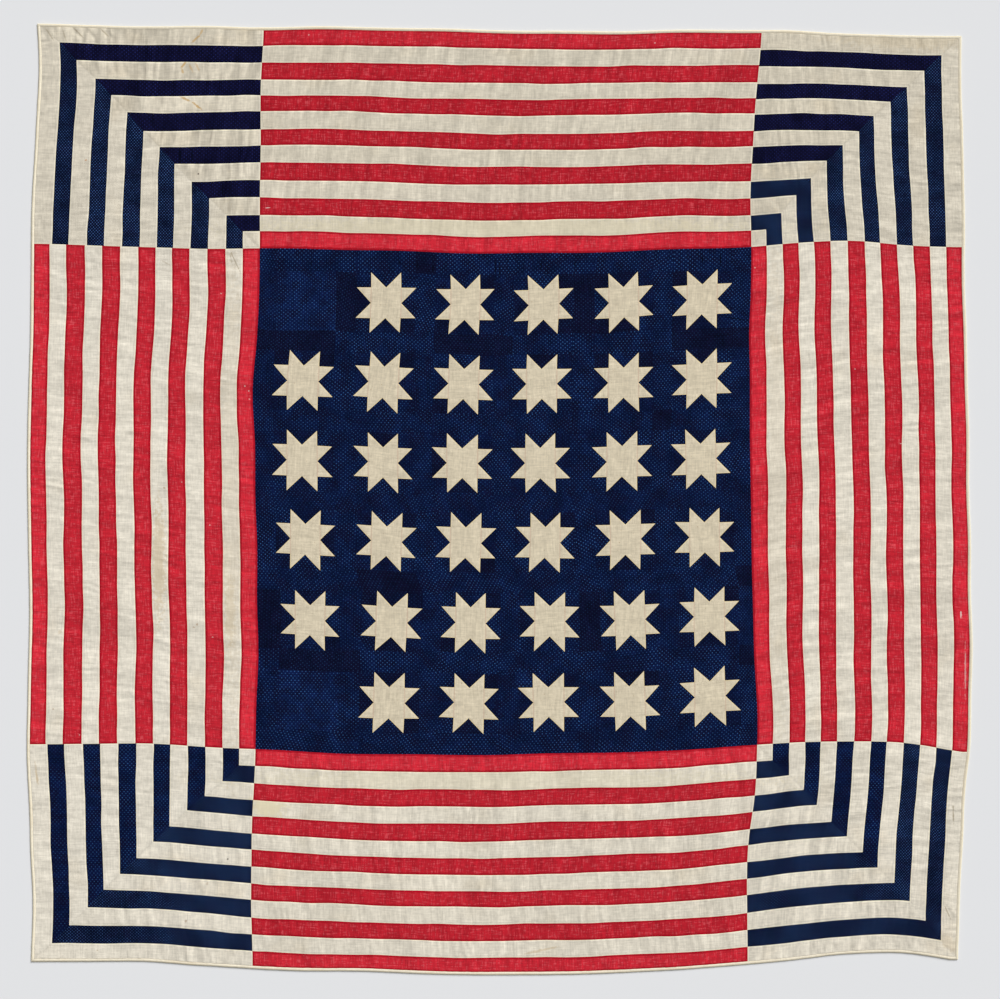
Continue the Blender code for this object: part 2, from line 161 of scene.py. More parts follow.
# Slow waves in the hand-sewn seams, and in the height of the cloth
SEAM_WAVES = (
    # length mm, direction degrees, sideways mm, upward mm, start degrees
    (310.0, 20.0, 0.7, 0.6, 40.0),
    (230.0, 75.0, 0.6, -0.6, 160.0),
    (170.0, 130.0, 0.5, 0.5, 250.0),
)
HEIGHT_WAVES = (
    # length mm, direction degrees, height mm, start degrees
    (420.0, 35.0, 0.16, 10.0),
    (260.0, 100.0, 0.12, 200.0),
    (150.0, 160.0, 0.10, 75.0),
)
CREST_HEIGHT = 3.7
LOWEST_CREST = 3.3

# The seams, in millimetres: how deep the cloth sinks in them, and the folded edges below
SEAM_DIP = 0.5
SHARP_SHARE = 0.7  # of that depth, along the thread
SHARP_REACH = 1.3
WIDE_SHARE = 0.3  # of that depth, over the folded edges too
WIDE_REACH = 5.0
SEAM_ALLOWANCE = 4.6
ALLOWANCE_STEP = 0.12
ALLOWANCE_SLOPE = 2.0
ALLOWANCE_WOBBLE = 1.2  # how far the line where the folded edges end strays
ALLOWANCE_WOBBLE_SIZE = 14.0
HAND_WANDER = 0.8  # how far a strip's seam wanders on its own
WANDER_LENGTH = 48.0
WANDER_FADE = 30.0  # from a mitre or a cross seam until it wanders fully

# Puckers: short ridges across a strip, drawn up by its hand-sewn seams
PUCKER_LENGTH = 7.0
PUCKER_HEIGHT = 0.35
PUCKER_REACH = 8.0  # from the seam that draws them up
PUCKER_FADE = 6.0  # from a mitre or a cross seam
PUCKER_SLANT = 0.16  # along the strip for each millimetre across it
PUCKER_BEND = 4.0
PUCKER_PARTS = {
    # part: length along the strip mm, depth across it mm, row of the random heights
    "bend": (40.0, 30.0, 0.0),
    "fine": (PUCKER_LENGTH, 60.0, 7.0),
    "broad": (2.6 * PUCKER_LENGTH, 90.0, 31.0),
    "strength": (70.0, 38.0, 50.0),
}
STRENGTH_RANGE = (0.55, 0.45)  # middle, and most above and below it
BROAD_SHARE = 0.5
PATCH_RIPPLE = 0.20
PATCH_RIPPLE_LENGTH = 16.0
PATCH_RIPPLE_START = 90.0
RIPPLE_REACH = 3.0  # from a seam until the cloth ripples freely
HELD_SHARE = 0.35  # of a ridge's height, right at a seam
INNER_SEAM = 1.6  # how much shallower a seam between two patches of one cloth is
MITRE_SEAM = 0.4  # the same for a mitre, which is sewn tighter
MITRE_TROUGH = 0.3  # how far a strip sinks further at its mitre; the cloths also paint shade into that trough
MITRE_REACH = 2.0
PINK_LINE = 1.8  # half the width of the line where a star's upright seams show through
NO_SEAM = 99.0
HAIR = 0.001  # keeps points on a seam within their own strip
RANDOM_STARTS = 100.0  # range of the places in the random heights where a panel's strips start
UPRIGHT_START = 17  # how much further on a corner's upright strips start there

# Fineness of the cloths, in millimetres
ALONG_STEP = 3.2
END_STATIONS = (0.0, 1.2, 3.0, 6.0)  # from either end of a strip
HALF_STRIP_SHARES = (0.0, 0.0625, 0.156, 0.333, 0.547, 0.77, 1.0)  # from seam to middle
PATCH_STEPS = 8
SASH_STEPS = 10
MERGE_DISTANCE = 0.01
EDGE_CROWD = 0.62  # how strongly a patch's steps crowd towards its seams

SEAM_X = FIELD_WIDTH / 2
SEAM_Y = FIELD_HEIGHT / 2
EDGE_X = SEAM_X + BORDER_DEPTH + BINDING_WIDTH
EDGE_Y = SEAM_Y + BORDER_DEPTH + BINDING_WIDTH

# Height of the ridges across a panel's strips, in millimetres
STRIP_PUCKERS = {
    # panel: strips that run across the quilt, strips that run up it
    "corner_head_left": (1.5, 0.4),
    "corner_head_right": (0.6, 0.5),
    "corner_foot_left": (0.5, 0.4),
    "corner_foot_right": (0.7, 0.6),
    "border_head": (0.5, 0.0),
    "border_foot": (0.45, 0.0),
    "border_left": (0.0, 0.45),
    "border_right": (0.0, 0.6),
}

# How bright the strips of a border are, from 0 for its cloth's deep colour to 1 for its light one
BORDER_TONES = {
    # border: outermost red, reds between, innermost red, creams
    "border_head": (0.60, 0.22, 0.90, 0.22),
    "border_foot": (0.66, 0.34, 0.88, 0.65),
    "border_left": (1.00, 0.58, 1.00, 0.95),
    "border_right": (1.00, 0.58, 0.95, 0.90),
}
CORNER_CREAM_TONES = {
    # corner: strips that run across the quilt, strips that run up it
    "corner_head_left": (0.15, 0.40),
    "corner_head_right": (0.10, 0.35),
    "corner_foot_left": (0.80, 0.95),
    "corner_foot_right": (0.70, 0.75),
}
TONE_SPREAD = 0.07

# How lively the printed patches are, from 0 for nearly black to 1 for clear dots
PRINT_TONES = (0.4, 0.85)
PRINT_SPREAD = 0.25
CORNER_PRINT_TONE = 0.5
BARE_TONE = 1.0
DARK_TONE = 0.06
SMALL_PATCH_TONES = (0.0, 0.95)
BOLT_SIZE = 4000.0  # of the printed cloth that the patches are cut from, in millimetres
CUT_LEAN = 0.05  # how far off the straight a patch was cut, in radians

# Which print the indigo strips of a corner have
CORNER_PRINTS = {
    # corner: strips across the quilt, the two innermost of these, strips up the quilt, the two
    # outermost of these
    "corner_head_left": ("violet_dots", "violet_dots", "fine_dots", "fine_dots"),
    "corner_head_right": ("violet_dots", "fine_dots", "fine_dots", "fine_dots"),
    "corner_foot_left": ("fine_dots", "fine_dots", "indigo_dots", "indigo_dots"),
    "corner_foot_right": ("fine_dots", "fine_dots", "indigo_dots", "fine_dots"),
}
OUTERMOST_END = 4  # counted from the binding, the strips before this one are the outermost
INNERMOST_START = 9  # and from this one on they are the innermost

# Creases, each one in a row of equal ones: where the first lies on the quilt,
# the step to the next and their number, then length, width and height of each in
# millimetres, with its turn in degrees. Troughs have a negative height.
CREASES = (
    # x, y, step x, step y, count, length, width, turn, height
    (-1016, 1042, 0, 0, 1, 40, 7, -73, -1.1),
    (-1002, 1044, 0, 0, 1, 30, 7, -57, 1),
    (-945, 1043, 31, 0, 2, 36, 7, -49, -1),
    (-875, 1040, 0, 0, 1, 46, 8, -39, -1),
    (-783, 1042, 0, 0, 1, 28, 8, -35, -0.7),
    (-921, 962, 20.9, 0, 8, 30, 7, -80, -0.8),
    (-857, 883, 25, 0, 6, 28, 7, -84, -0.7),
    (-784, 808, 27, 0, 6, 28, 7, 86, -0.6),
    (-701, 733, 40, 0, 3, 30, 8, -70, -0.7),
    (-1019, 899, -6, -280, 2, 44, 8, -80, -0.6),
    (1017, 765, 1, -11, 2, 30, 6, -6, -0.6),
    (1017, 702, 1, -12, 3, 30, 6, -8, -0.7),
    (1018, 640, 1, -11, 3, 28, 6, -4, -0.7),
    (938, 706, 1, -11, 3, 28, 6, -8, -0.6),
    (799, 776, 0, -9, 2, 26, 6, -5, -0.6),
    (946, 541, 4, -18, 4, 27, 6, -12, -0.7),
    (1019, 534, 0, -24, 3, 28, 6, -10, -0.7),
    (1019, 408, -72, 1, 2, 28, 6, -8, -0.7),
    (799, 549, 3, -155, 2, 30, 6, -6, -0.7),
    (-594, 539, -6, -8, 2, 52, 7, -65, -0.9),
    (-672, 560, -1, -14.5, 9, 32, 6, -8, -0.6),
    (-752, 548, 0, -12, 4, 30, 6, -12, -0.6),
    (-748, 232, 4, -180, 2, 38, 7, -60, -0.6),
    (-827, 484, 0, 0, 1, 28, 7, -28, -0.8),
    (-828, 407, 2, -260, 2, 34, 6, 0, -0.6),
    (-871, -598, 1, -27, 6, 36, 6, -2, -0.7),
    (-950, -789, 2, -24, 4, 36, 6, -2, -0.6),
    (-794, -581, 1, -25, 6, 32, 6, 3, -0.5),
    (-817, -858, 18, 0, 4, 30, 7, 85, -0.7),
    (1008, -923, 0, 0, 1, 42, 7, -58, -1.1),
    (1004, -850, 1, -15, 6, 26, 6, 42, 0.7),
    (1015, -704, 0, 0, 1, 40, 5, -88, -0.9),
    (702, -1004, 24, 1.5, 3, 26, 7, -76, -0.7),
    (831, -996, 27, 0.5, 5, 28, 7, -78, -0.7),
    (823, -919, 20, 0, 5, 28, 7, -82, -0.9),
    (722, -848, 15, 1, 8, 24, 7, 88, -0.4),
    (736, -590, -0.5, -14, 8, 28, 6, 0, -0.45),
    (808, -580, -1.5, -15, 11, 28, 6, 2, -0.45),
    (957, -575, -1, -20, 14, 30, 6, -3, -0.4),
)

# Section of the binding, round from its seam over its fold and back below
BINDING_SECTION = (
    # share of the width, height mm
    (0.0, 2.7),
    (0.06, 3.1),
    (0.16, 3.3),
    (0.32, 3.45),
    (0.52, 3.45),
    (0.70, 3.2),
    (0.85, 2.7),
    (0.95, 2.0),
    (1.0, 1.3),
    (0.97, 0.6),
    (0.88, 0.0),
    (0.0, 0.0),
)
FOLD_RANGE = (-0.7, 0.7)  # mm below and above the cloth, and how bright the cloth is painted there: painted shade in the troughs, painted highlight on the ridges
FOLD_SHADE = (0.87, 1.14)
# Painted light: how much brighter the fold of a binding is painted. Those that lie away from the
# light are painted paler
BINDING_PAINTED_LIGHT = {
    "binding_head": 0.0,
    "binding_foot": 0.7,
    "binding_left": 1.0,
    "binding_right": 0.1,
}
BINDING_PUCKER = 0.16
BINDING_PUCKER_LENGTH = 5.0
BINDING_PUCKER_WIDTH = 1.5  # rows of the random heights that the section spans
BINDING_STRAY = 0.35
BINDING_STRAY_LENGTH = 30.0
BINDING_STILL_END = 20.0  # from a mitre until a binding strays fully
BINDING_ROW_STEP = 1.2
BINDING_SHARP_ANGLE = 60  # degrees from which its edges are drawn sharp

# Colours of the cloths as they look in plain light, red, green and blue from 0 to 255
CREAM_DEEP = (205, 196, 177)
CREAM_LIGHT = (225, 218, 203)
CREAM_EDGE = (224, 217, 199)
CREAM_RIM = (240, 231, 206)
CREAM_STAR = (211, 199, 174)
CREAM_BINDING = (216, 207, 186)
CREAM_AGED = (196, 172, 128)
CREAM_YELLOW = (223, 212, 178)
MUSLIN = (214, 206, 188)
RED_DEEP = (168, 24, 37)
RED_LIGHT = (209, 43, 57)
RED_EDGE = (166, 14, 32)
RED_WORN = (226, 96, 104)
INDIGO = (8, 19, 53)
VIOLET = (12, 12, 38)
TEAL = (6, 13, 38)
NEARLY_BLACK = (9, 13, 38)
PRINT_DOT = (62, 112, 170)
VIOLET_DOT = (44, 58, 140)
TEAL_DOT = (76, 116, 180)
FLOOR = (226, 227, 229)

# Colours of stains and worn places, and of painted shade along creases and folds
BROWN = (150, 112, 66)
GOLD = (192, 156, 98)
CREASE_SHADE = (156, 142, 116)
RUST = (186, 118, 52)
TAN = (188, 160, 112)
PALE = (226, 196, 190)
DARK = (70, 56, 48)
PAINTED_FOLD_SHADE = (4, 6, 20)
LINT = (150, 170, 200)
RED_CREASE_SHADE = (128, 14, 28)
PINKISH = (190, 152, 132)
STAR_RIM = (232, 212, 166)
FOLD_TAN = (232, 220, 184)

# The small prints, in millimetres: one cell of the staggered dots, along a strip and across
# it, with the radius of a dot, and the same of the print whose dots are finest
SMALL_DOTS = (9.8, 8.3, 1.05)
FINE_DOTS = (7.4, 6.4, 1.1)
DOT_BLUR = 0.3  # share of its radius over which a dot fades out, on either side of its rim

# How the cottons take the light
COTTON_ROUGHNESS = 0.9
COTTON_SHINE = 0.03
SHEEN_ROUGHNESS = 0.6

# Threads, in millimetres: uneven ones and thick slubs, and how many times as long as thick
# they look, then the relief of the plain weave with its slack places
THREAD_SIZE = 1.4
THREAD_RUN = 22
SLUB_SIZE = 5.0
SLUB_RUN = 14
THREAD_PITCH = 0.45
THREAD_DEPTH = 0.16
UNEVEN_SIZE = 2.5
SLACK_SIZE = 9.0
CROSSING_SHARE = 0.3

# Stains, worn places and painted shade along creases and folds: x and y on the quilt,
# length and width in millimetres, turn in degrees, colour and strength. Their rims are ragged and
# fade out.
SPOT_RAGGED_SIZE = 6.0
SPOT_RAGGED = 0.4  # of a spot's half width
SPOT_FADE = (0.5, 1.15)  # where it starts to fade and where it ends, as shares of that
SPOT_DEPTH = 1000.0  # more than the cloth's height
CREAM_SPOTS = (
    (-669, 1045, 24, 5, 62, GOLD, 0.6),
    (-681, 1031, 28, 5.5, 42, GOLD, 0.7),
    (-708, 973, 22, 5.5, 52, GOLD, 0.8),
    (-711, 960, 14, 5.5, 110, GOLD, 0.65),
    (-692, 967, 26, 5, 115, GOLD, 0.5),
    (-677, 968, 26, 5, 115, GOLD, 0.45),
    (-703, 896, 32, 5.5, -24, GOLD, 0.75),
    (-678, 881, 32, 6, -38, GOLD, 0.85),
    (-675, 729, 4.2, 4.2, 0, DARK, 0.95),
    (-927, 760, 6, 5, 0, RUST, 0.6),
    (-752, 26, 7, 5, 0, BROWN, 0.5),
    (-678, -280, 6, 5, 0, BROWN, 0.5),
    (-685, -286, 5, 4, 0, BROWN, 0.4),
    (-1000, -469, 5, 4, 0, BROWN, 0.5),
    (-985, -296, 14, 8, 60, TAN, 0.3),
    (-764, -142, 34, 290, 0, CREAM_AGED, 0.45),
    (-604, -250, 26, 180, 0, CREAM_AGED, 0.3),
    (-520, -687, 90, 52, -8, CREAM_YELLOW, 0.8),
    (22, -975, 24, 6, 70, TAN, 0.5),
    (90, -1010, 90, 6, 12, TAN, 0.4),
    (-1037, -616, 50, 6, -82, TAN, 0.5),
    (-901, -1009, 5, 5, 0, BROWN, 0.35),
    (-703, -944, 8, 5, 70, BROWN, 0.5),
    (-656, -860, 7, 5, 40, BROWN, 0.3),
    (-609, -805, 4, 4, 0, DARK, 0.8),
    (1008, -994, 66, 34, -45, CREAM_AGED, 0.25),
    (-602, 0, 60, 1300, 0, CREAM_AGED, 0.17),
    (620, 0, 60, 1300, 0, CREAM_AGED, 0.14),
    (0, 607, 1300, 60, 0, CREAM_YELLOW, 0.4),
    (0, -629, 1300, 60, 0, CREAM_YELLOW, 0.3),
    (905, 1035, 400, 60, -2, CREAM_AGED, 0.2),
    # Painted shade along creases, as thin dark lines
    (1015, -704, 46, 3.4, -88, CREASE_SHADE, 0.75),
    (1003, -926, 36, 3.6, -66, CREASE_SHADE, 0.6),
    (-1007, 1040, 36, 3.6, -56, CREASE_SHADE, 0.5),
    (-975, 1040, 32, 3.4, -72, CREASE_SHADE, 0.45),
    (-943.5, 1045, 34, 3.6, -45, CREASE_SHADE, 0.55),
    (-885, 1045, 34, 3.6, -45, CREASE_SHADE, 0.55),
    (-594, 536, 54, 3.6, -65, CREASE_SHADE, 0.6),
    (-602, 540, 30, 3, -80, CREASE_SHADE, 0.5),
    (-748, 530, 26, 3.2, -30, CREASE_SHADE, 0.35),
    (-636, 405, 28, 3.2, -6, CREASE_SHADE, 0.3),
)
# Small pale specks in the red: x and y on the quilt, and width
RED_SPECKS = (
    (-624, 461, 3), (-562, 243, 4), (-712, 39, 3), (-649, -57, 4), (-643, -308, 3),
    (-941, -527, 4), (571, 519, 3), (795, 292, 3), (-428, 1040, 4), (347, 1022, 4),
)
RED_SPOTS = (
    (-520, 653, 12, 2.5, 5, PALE, 0.8),
    # painted shade along a crease
    (-636, 475, 24, 2.2, -4, RED_CREASE_SHADE, 0.6),
    (-571, 254, 4, 4, 0, PALE, 0.55),
    (-561, 225, 4, 4, 30, PALE, 0.5),
    (1032, -256, 4, 19, 0, PALE, 0.9),
    (1042, -380, 4, 120, 0, PALE, 0.45),
    (898, 125, 8, 2.5, 0, PALE, 0.6),
    *((x, y, 4, width, 0, PALE, 0.5) for x, y, width in RED_SPECKS),
)
# Painted shade along folds of the indigo, as thin dark lines
FIELD_FOLD_SHADE = (
    (-423, 527, 12, 3.4, 90, PAINTED_FOLD_SHADE, 0.7),
    (-327, 523, 12, 3.4, 90, PAINTED_FOLD_SHADE, 0.7),
    (-224, 530, 16, 3.8, 90, PAINTED_FOLD_SHADE, 0.8),
    (-185, 524, 24, 3.4, 80, PAINTED_FOLD_SHADE, 0.8),
    (-150, 517, 14, 3.8, 90, PAINTED_FOLD_SHADE, 0.8),
    (-9.6, 514, 54, 3.4, 89, PAINTED_FOLD_SHADE, 0.8),
    (-0.6, 512, 50, 3.4, 91, PAINTED_FOLD_SHADE, 0.8),
    (92, 523, 20, 3.4, 90, PAINTED_FOLD_SHADE, 0.8),
    (168, 527, 18, 3.4, 90, PAINTED_FOLD_SHADE, 0.7),
    (453, 537, 18, 3.4, 90, PAINTED_FOLD_SHADE, 0.8),
    (494, 536, 32, 3.4, 90, PAINTED_FOLD_SHADE, 0.8),
    (499, 354, 22, 3.4, 90, PAINTED_FOLD_SHADE, 0.7),
    (523, 406, 72, 3.8, -9, PAINTED_FOLD_SHADE, 0.7),
)
# The dark ones are painted shade along folds of the strips; the last one is lint
CORNER_SPOTS = (
    (-810, 922, 38, 6, 88, PAINTED_FOLD_SHADE, 0.6),
    (-716, 771, 36, 6, 90, PAINTED_FOLD_SHADE, 0.8),
    (-689, 771, 36, 6, 90, PAINTED_FOLD_SHADE, 0.8),
    (-621, 694, 36, 5, 89, PAINTED_FOLD_SHADE, 0.8),
    (-777, 848, 36, 12, 90, PAINTED_FOLD_SHADE, 0.5),
    (772, -738, 4, 3, 30, LINT, 0.7),
)


def smooth(at, stations, values):
    """A cubic through a table's points. Its slope at each point comes from the neighbours."""
    order = np.argsort(stations)
    stations, values = stations[order], values[order]
    slopes = np.gradient(values, stations)
    index = np.clip(np.searchsorted(stations, at) - 1, 0, len(stations) - 2)
    span = stations[index + 1] - stations[index]
    t = np.clip((at - stations[index]) / span, 0.0, 1.0)
    return (
        values[index] * (1 + 2 * t) * (1 - t) ** 2
        + slopes[index] * span * t * (1 - t) ** 2
        + values[index + 1] * t * t * (3 - 2 * t)
        + slopes[index + 1] * span * t * t * (t - 1)
    )


def strays_at(table, station):
    """The strays of a table's long lines at a station, by the names of their columns."""
    column = dict(zip(LINE_COLUMNS, np.array(table).T))
    return {name: smooth(station, column["station"], column[name]) for name in LINE_COLUMNS[1:]}


def long_lines(table, station, seam, edge):
    """Where the six long lines lie: edge, binding seam and long seam, and the same beyond."""
    stray = strays_at(table, station)
    low_edge = stray["low_edge"] - edge
    high_edge = stray["high_edge"] + edge
    return np.array(
        (
            low_edge,
            low_edge + BINDING_WIDTH,
            stray["low_seam"] - seam,
            stray["high_seam"] + seam,
            high_edge - BINDING_WIDTH,
            high_edge,
        )
    )


def bow(table, station, place):
    """How far a line between two long lines lies aside, with its border's middle."""
    stray = strays_at(table, station)
    low = np.clip(place - 1, 0, 1)
    high = np.clip(place - 3, 0, 1)
    return 4 * (stray["low_bow"] * low * (1 - low) + stray["high_bow"] * high * (1 - high))


def between(lines, place):
    """Points at places counted along a list of lines."""
    index = np.clip(place.astype(int), 0, len(lines) - 2)
    low = np.take_along_axis(lines, index[None], 0)[0]
    high = np.take_along_axis(lines, index[None] + 1, 0)[0]
    return low + (place - index) * (high - low)


def wave_phase(x, y, length, direction, start):
    angle = math.radians(direction)
    along = x * math.cos(angle) + y * math.sin(angle)
    return 2 * math.pi * along / length + math.radians(start)


def on_quilt(column, row):
    """Points in millimetres from their places between the long lines, counted from 0 to 5."""
    lines = np.arange(6)
    flat_x = np.interp(column, lines, long_lines(LINES_UP, 0.0, SEAM_X, EDGE_X))
    flat_y = np.interp(row, lines, long_lines(LINES_ACROSS, 0.0, SEAM_Y, EDGE_Y))
    x = between(long_lines(LINES_UP, flat_y, SEAM_X, EDGE_X), column)
    y = between(long_lines(LINES_ACROSS, flat_x, SEAM_Y, EDGE_Y), row)
    x += bow(LINES_UP, flat_y, column)
    y += bow(LINES_ACROSS, flat_x, row)
    for length, direction, sideways, upward, start in SEAM_WAVES:
        phase = wave_phase(flat_x, flat_y, length, direction, start)
        x += sideways * np.sin(phase)
        y += upward * np.cos(phase)
    return x - QUILT_CENTRE[0], y - QUILT_CENTRE[1]


def crest(x, y):
    """Full height of the cloth, a little uneven from place to place."""
    height = CREST_HEIGHT
    for length, direction, rise, start in HEIGHT_WAVES:
        height = height + rise * np.sin(wave_phase(x, y, length, direction, start))
    return np.maximum(height, LOWEST_CREST)


def from_low_edge(depth):
    """Place of a line at a depth into the left or foot border, between long lines 1 and 2."""
    clear = PIECE_GAP / 2 / BORDER_DEPTH
    return 1 + clear + depth / BORDER_DEPTH * (1 - 2 * clear)


def from_high_edge(depth):
    return 5 - from_low_edge(depth)


def side_place(side):
    """Places along a side and in from its edge, carried to a column and a row on the quilt."""
    runs_up, high = SIDES[side]

    def place(along, inward):
        inward = 5 - inward if high else inward
        return (inward, along) if runs_up else (along, inward)

    return place


def across_field(distance, size):
    """Place of a line at a distance from the middle of the field, between lines 2 and 3."""
    clear = PIECE_GAP / 2 / size
    return 2 + clear + (distance / size + 0.5) * (1 - 2 * clear)


class Ripple:
    """Smooth random heights from -1 to 1, the same for the same seed."""

    SIZE = 256

    def __init__(self, seed):
        self.heights = np.random.default_rng(seed).uniform(-1, 1, (self.SIZE, self.SIZE))

    def at(self, x, y):
        column, row = np.floor(x).astype(int), np.floor(y).astype(int)
        across, up = x - column, y - row
        across = across * across * (3 - 2 * across)
        up = up * up * (3 - 2 * up)
        corners = [
            self.heights[(column + right) % self.SIZE, (row + above) % self.SIZE]
            for above in (0, 1)
            for right in (0, 1)
        ]
        low = corners[0] + across * (corners[1] - corners[0])
        high = corners[2] + across * (corners[3] - corners[2])
        return low + up * (high - low)


WANDER = Ripple(SEED + 1)
PUCKERS = Ripple(SEED + 2)
PATCHES = Ripple(SEED + 3)


def cloth_height(x, y, seam, ridges):
    """Height of the top side, from its distance to the nearest seam, all in millimetres."""
    sharp = SHARP_SHARE * np.exp(-seam / SHARP_REACH)
    wide = WIDE_SHARE * np.exp(-((seam / WIDE_REACH) ** 2))
    over_fold = (SEAM_ALLOWANCE + ALLOWANCE_SLOPE / 2 - seam) / ALLOWANCE_SLOPE
    patch_x = x / PATCH_RIPPLE_LENGTH + PATCH_RIPPLE_START
    patch_y = y / PATCH_RIPPLE_LENGTH + PATCH_RIPPLE_START
    away = 1 - np.exp(-seam / RIPPLE_REACH)
    return (
        crest(x, y)
        - SEAM_DIP * (sharp + wide)
        + ALLOWANCE_STEP * np.clip(over_fold, 0, 1)
        + PATCH_RIPPLE * PATCHES.at(patch_x, patch_y) * away
        + ridges * (HELD_SHARE + (1 - HELD_SHARE) * away)
    )


def creases(x, y):
    """Rise of the creases that are placed by hand, in millimetres."""
    rise = np.zeros(len(x))
    for at_x, at_y, step_x, step_y, count, length, width, turn, height in CREASES:
        angle = math.radians(turn)
        for number in range(count):
            right = x - at_x - number * step_x
            up = y - at_y - number * step_y
            along = right * math.cos(angle) + up * math.sin(angle)
            across = up * math.cos(angle) - right * math.sin(angle)
            ends = np.clip(1 - (2 * along / length) ** 2, 0, 1)
            rise += height * ends * np.exp(-((2 * across / width) ** 2))
    return rise


def write_map(mesh, name, first, second):
    """Two values for each point of a mesh, kept as a map that the cloths read."""
    corners = np.zeros(len(mesh.loops), dtype=int)
    mesh.loops.foreach_get("vertex_index", corners)
    values = np.stack((first, second), axis=1)[corners]
    mesh.uv_layers.new(name=name).uv.foreach_set("vector", values.ravel())


class Panel:
    """A panel's top side, gathered patch by patch, then closed below."""

    def __init__(self, name, cloths):
        self.name = name
        self.cloths = cloths
        self.chance = np.random.default_rng([SEED, sum(map(ord, name))])
        self.places = []
        self.seams = []
        self.edges = []
        self.tones = []
        self.ridges = []
        self.prints = []
        self.faces = []
        self.face_cloths = []
        self.count = 0

    def patch(self, place, seam, print_at, faces, cloth, tone, ridges=None, edge=None):
        """One patch. Its points and distances are flat lists, and its faces index them.

        The seam distance shapes the cloth, and the edge distance colours it: it is the same
        unless another one is given. The tone is one number, or one for each point.
        """
        size = len(seam)
        self.places.append(np.stack(place, axis=1))
        self.seams.append(seam)
        self.edges.append(seam if edge is None else edge)
        self.tones.append(np.broadcast_to(tone, size))
        self.ridges.append(np.zeros(size) if ridges is None else ridges)
        self.prints.append(np.stack(print_at, axis=1))
        self.faces += [tuple(corner + self.count for corner in face) for face in faces]
        self.face_cloths += [self.cloths.index(cloth)] * len(faces)
        self.count += size

    def print_offset(self):
        """Where on its bolt a patch was cut, in millimetres."""
        return self.chance.uniform(0, BOLT_SIZE, 2)

    def finish(self, backing):
        """Makes the panel's object: heights, weave coordinates, walls and a plain underside."""
        column, row = np.concatenate(self.places).T
        seam = np.concatenate(self.seams)
        x, y = on_quilt(column, row)
        fold = np.concatenate(self.ridges) + creases(x, y)
        z = cloth_height(x, y, seam, fold)
        mesh = bpy.data.meshes.new(self.name)
        mesh.from_pydata(np.stack((x, y, z), axis=1) * MM, [], self.faces)
        write_map(mesh, "weave", *np.concatenate(self.prints).T * MM)
        edges, tones = np.concatenate(self.edges), np.concatenate(self.tones)
        write_map(mesh, "sewing", edges * MM, tones)
        # The rise of the folds, which the cloths paint as shade in the troughs and highlight on
        # the ridges
        write_map(mesh, "folds", fold, 0 * fold)
        mesh.polygons.foreach_set("material_index", self.face_cloths)

        draft = bmesh.new()
        draft.from_mesh(mesh)
        bmesh.ops.remove_doubles(draft, verts=draft.verts, dist=MERGE_DISTANCE * MM)
        bmesh.ops.recalc_face_normals(draft, faces=draft.faces)
        if draft.faces[0].normal.z < 0:
            bmesh.ops.reverse_faces(draft, faces=draft.faces)
        close_below(draft, self.cloths.index(backing))
        draft.to_mesh(mesh)
        draft.free()
        return make_piece(self.name, mesh, self.cloths)


def close_below(draft, backing):
    """Side walls from the rim down to the floor, and a flat underside."""
    rim = [edge for edge in draft.edges if edge.is_boundary]
    for edge in rim:
        edge.smooth = False
    made = bmesh.ops.extrude_edge_only(draft, edges=rim)["geom"]
    low = [part for part in made if isinstance(part, bmesh.types.BMVert)]
    walls = [part for part in made if isinstance(part, bmesh.types.BMFace)]
    for vertex in low:
        vertex.co.z = 0.0
    foot = [edge for edge in draft.edges if edge.is_boundary]
    for edge in foot:
        edge.smooth = False
    filled = bmesh.ops.triangle_fill(draft, edges=foot, use_beauty=True)["geom"]
    under = [part for part in filled if isinstance(part, bmesh.types.BMFace)]
    for face in walls + under:
        face.material_index = backing
    bmesh.ops.recalc_face_normals(draft, faces=draft.faces)


def add_object(name, data):
    thing = bpy.data.objects.new(name, data)
    bpy.context.scene.collection.objects.link(thing)
    return thing


def make_piece(name, mesh, cloths):
    for cloth in cloths:
        mesh.materials.append(CLOTHS[cloth])
    mesh.polygons.foreach_set("use_smooth", [True] * len(mesh.polygons))
    mesh.update()
    return add_object(name, mesh)


def even_stations(length):
    """Stations along a strip, closer together at its two ends."""
    near = np.array(END_STATIONS)
    inner = np.linspace(near[-1], length - near[-1], round((length - 2 * near[-1]) / ALONG_STEP))
    return np.concatenate((near[:-1], inner, length - near[-2::-1]))


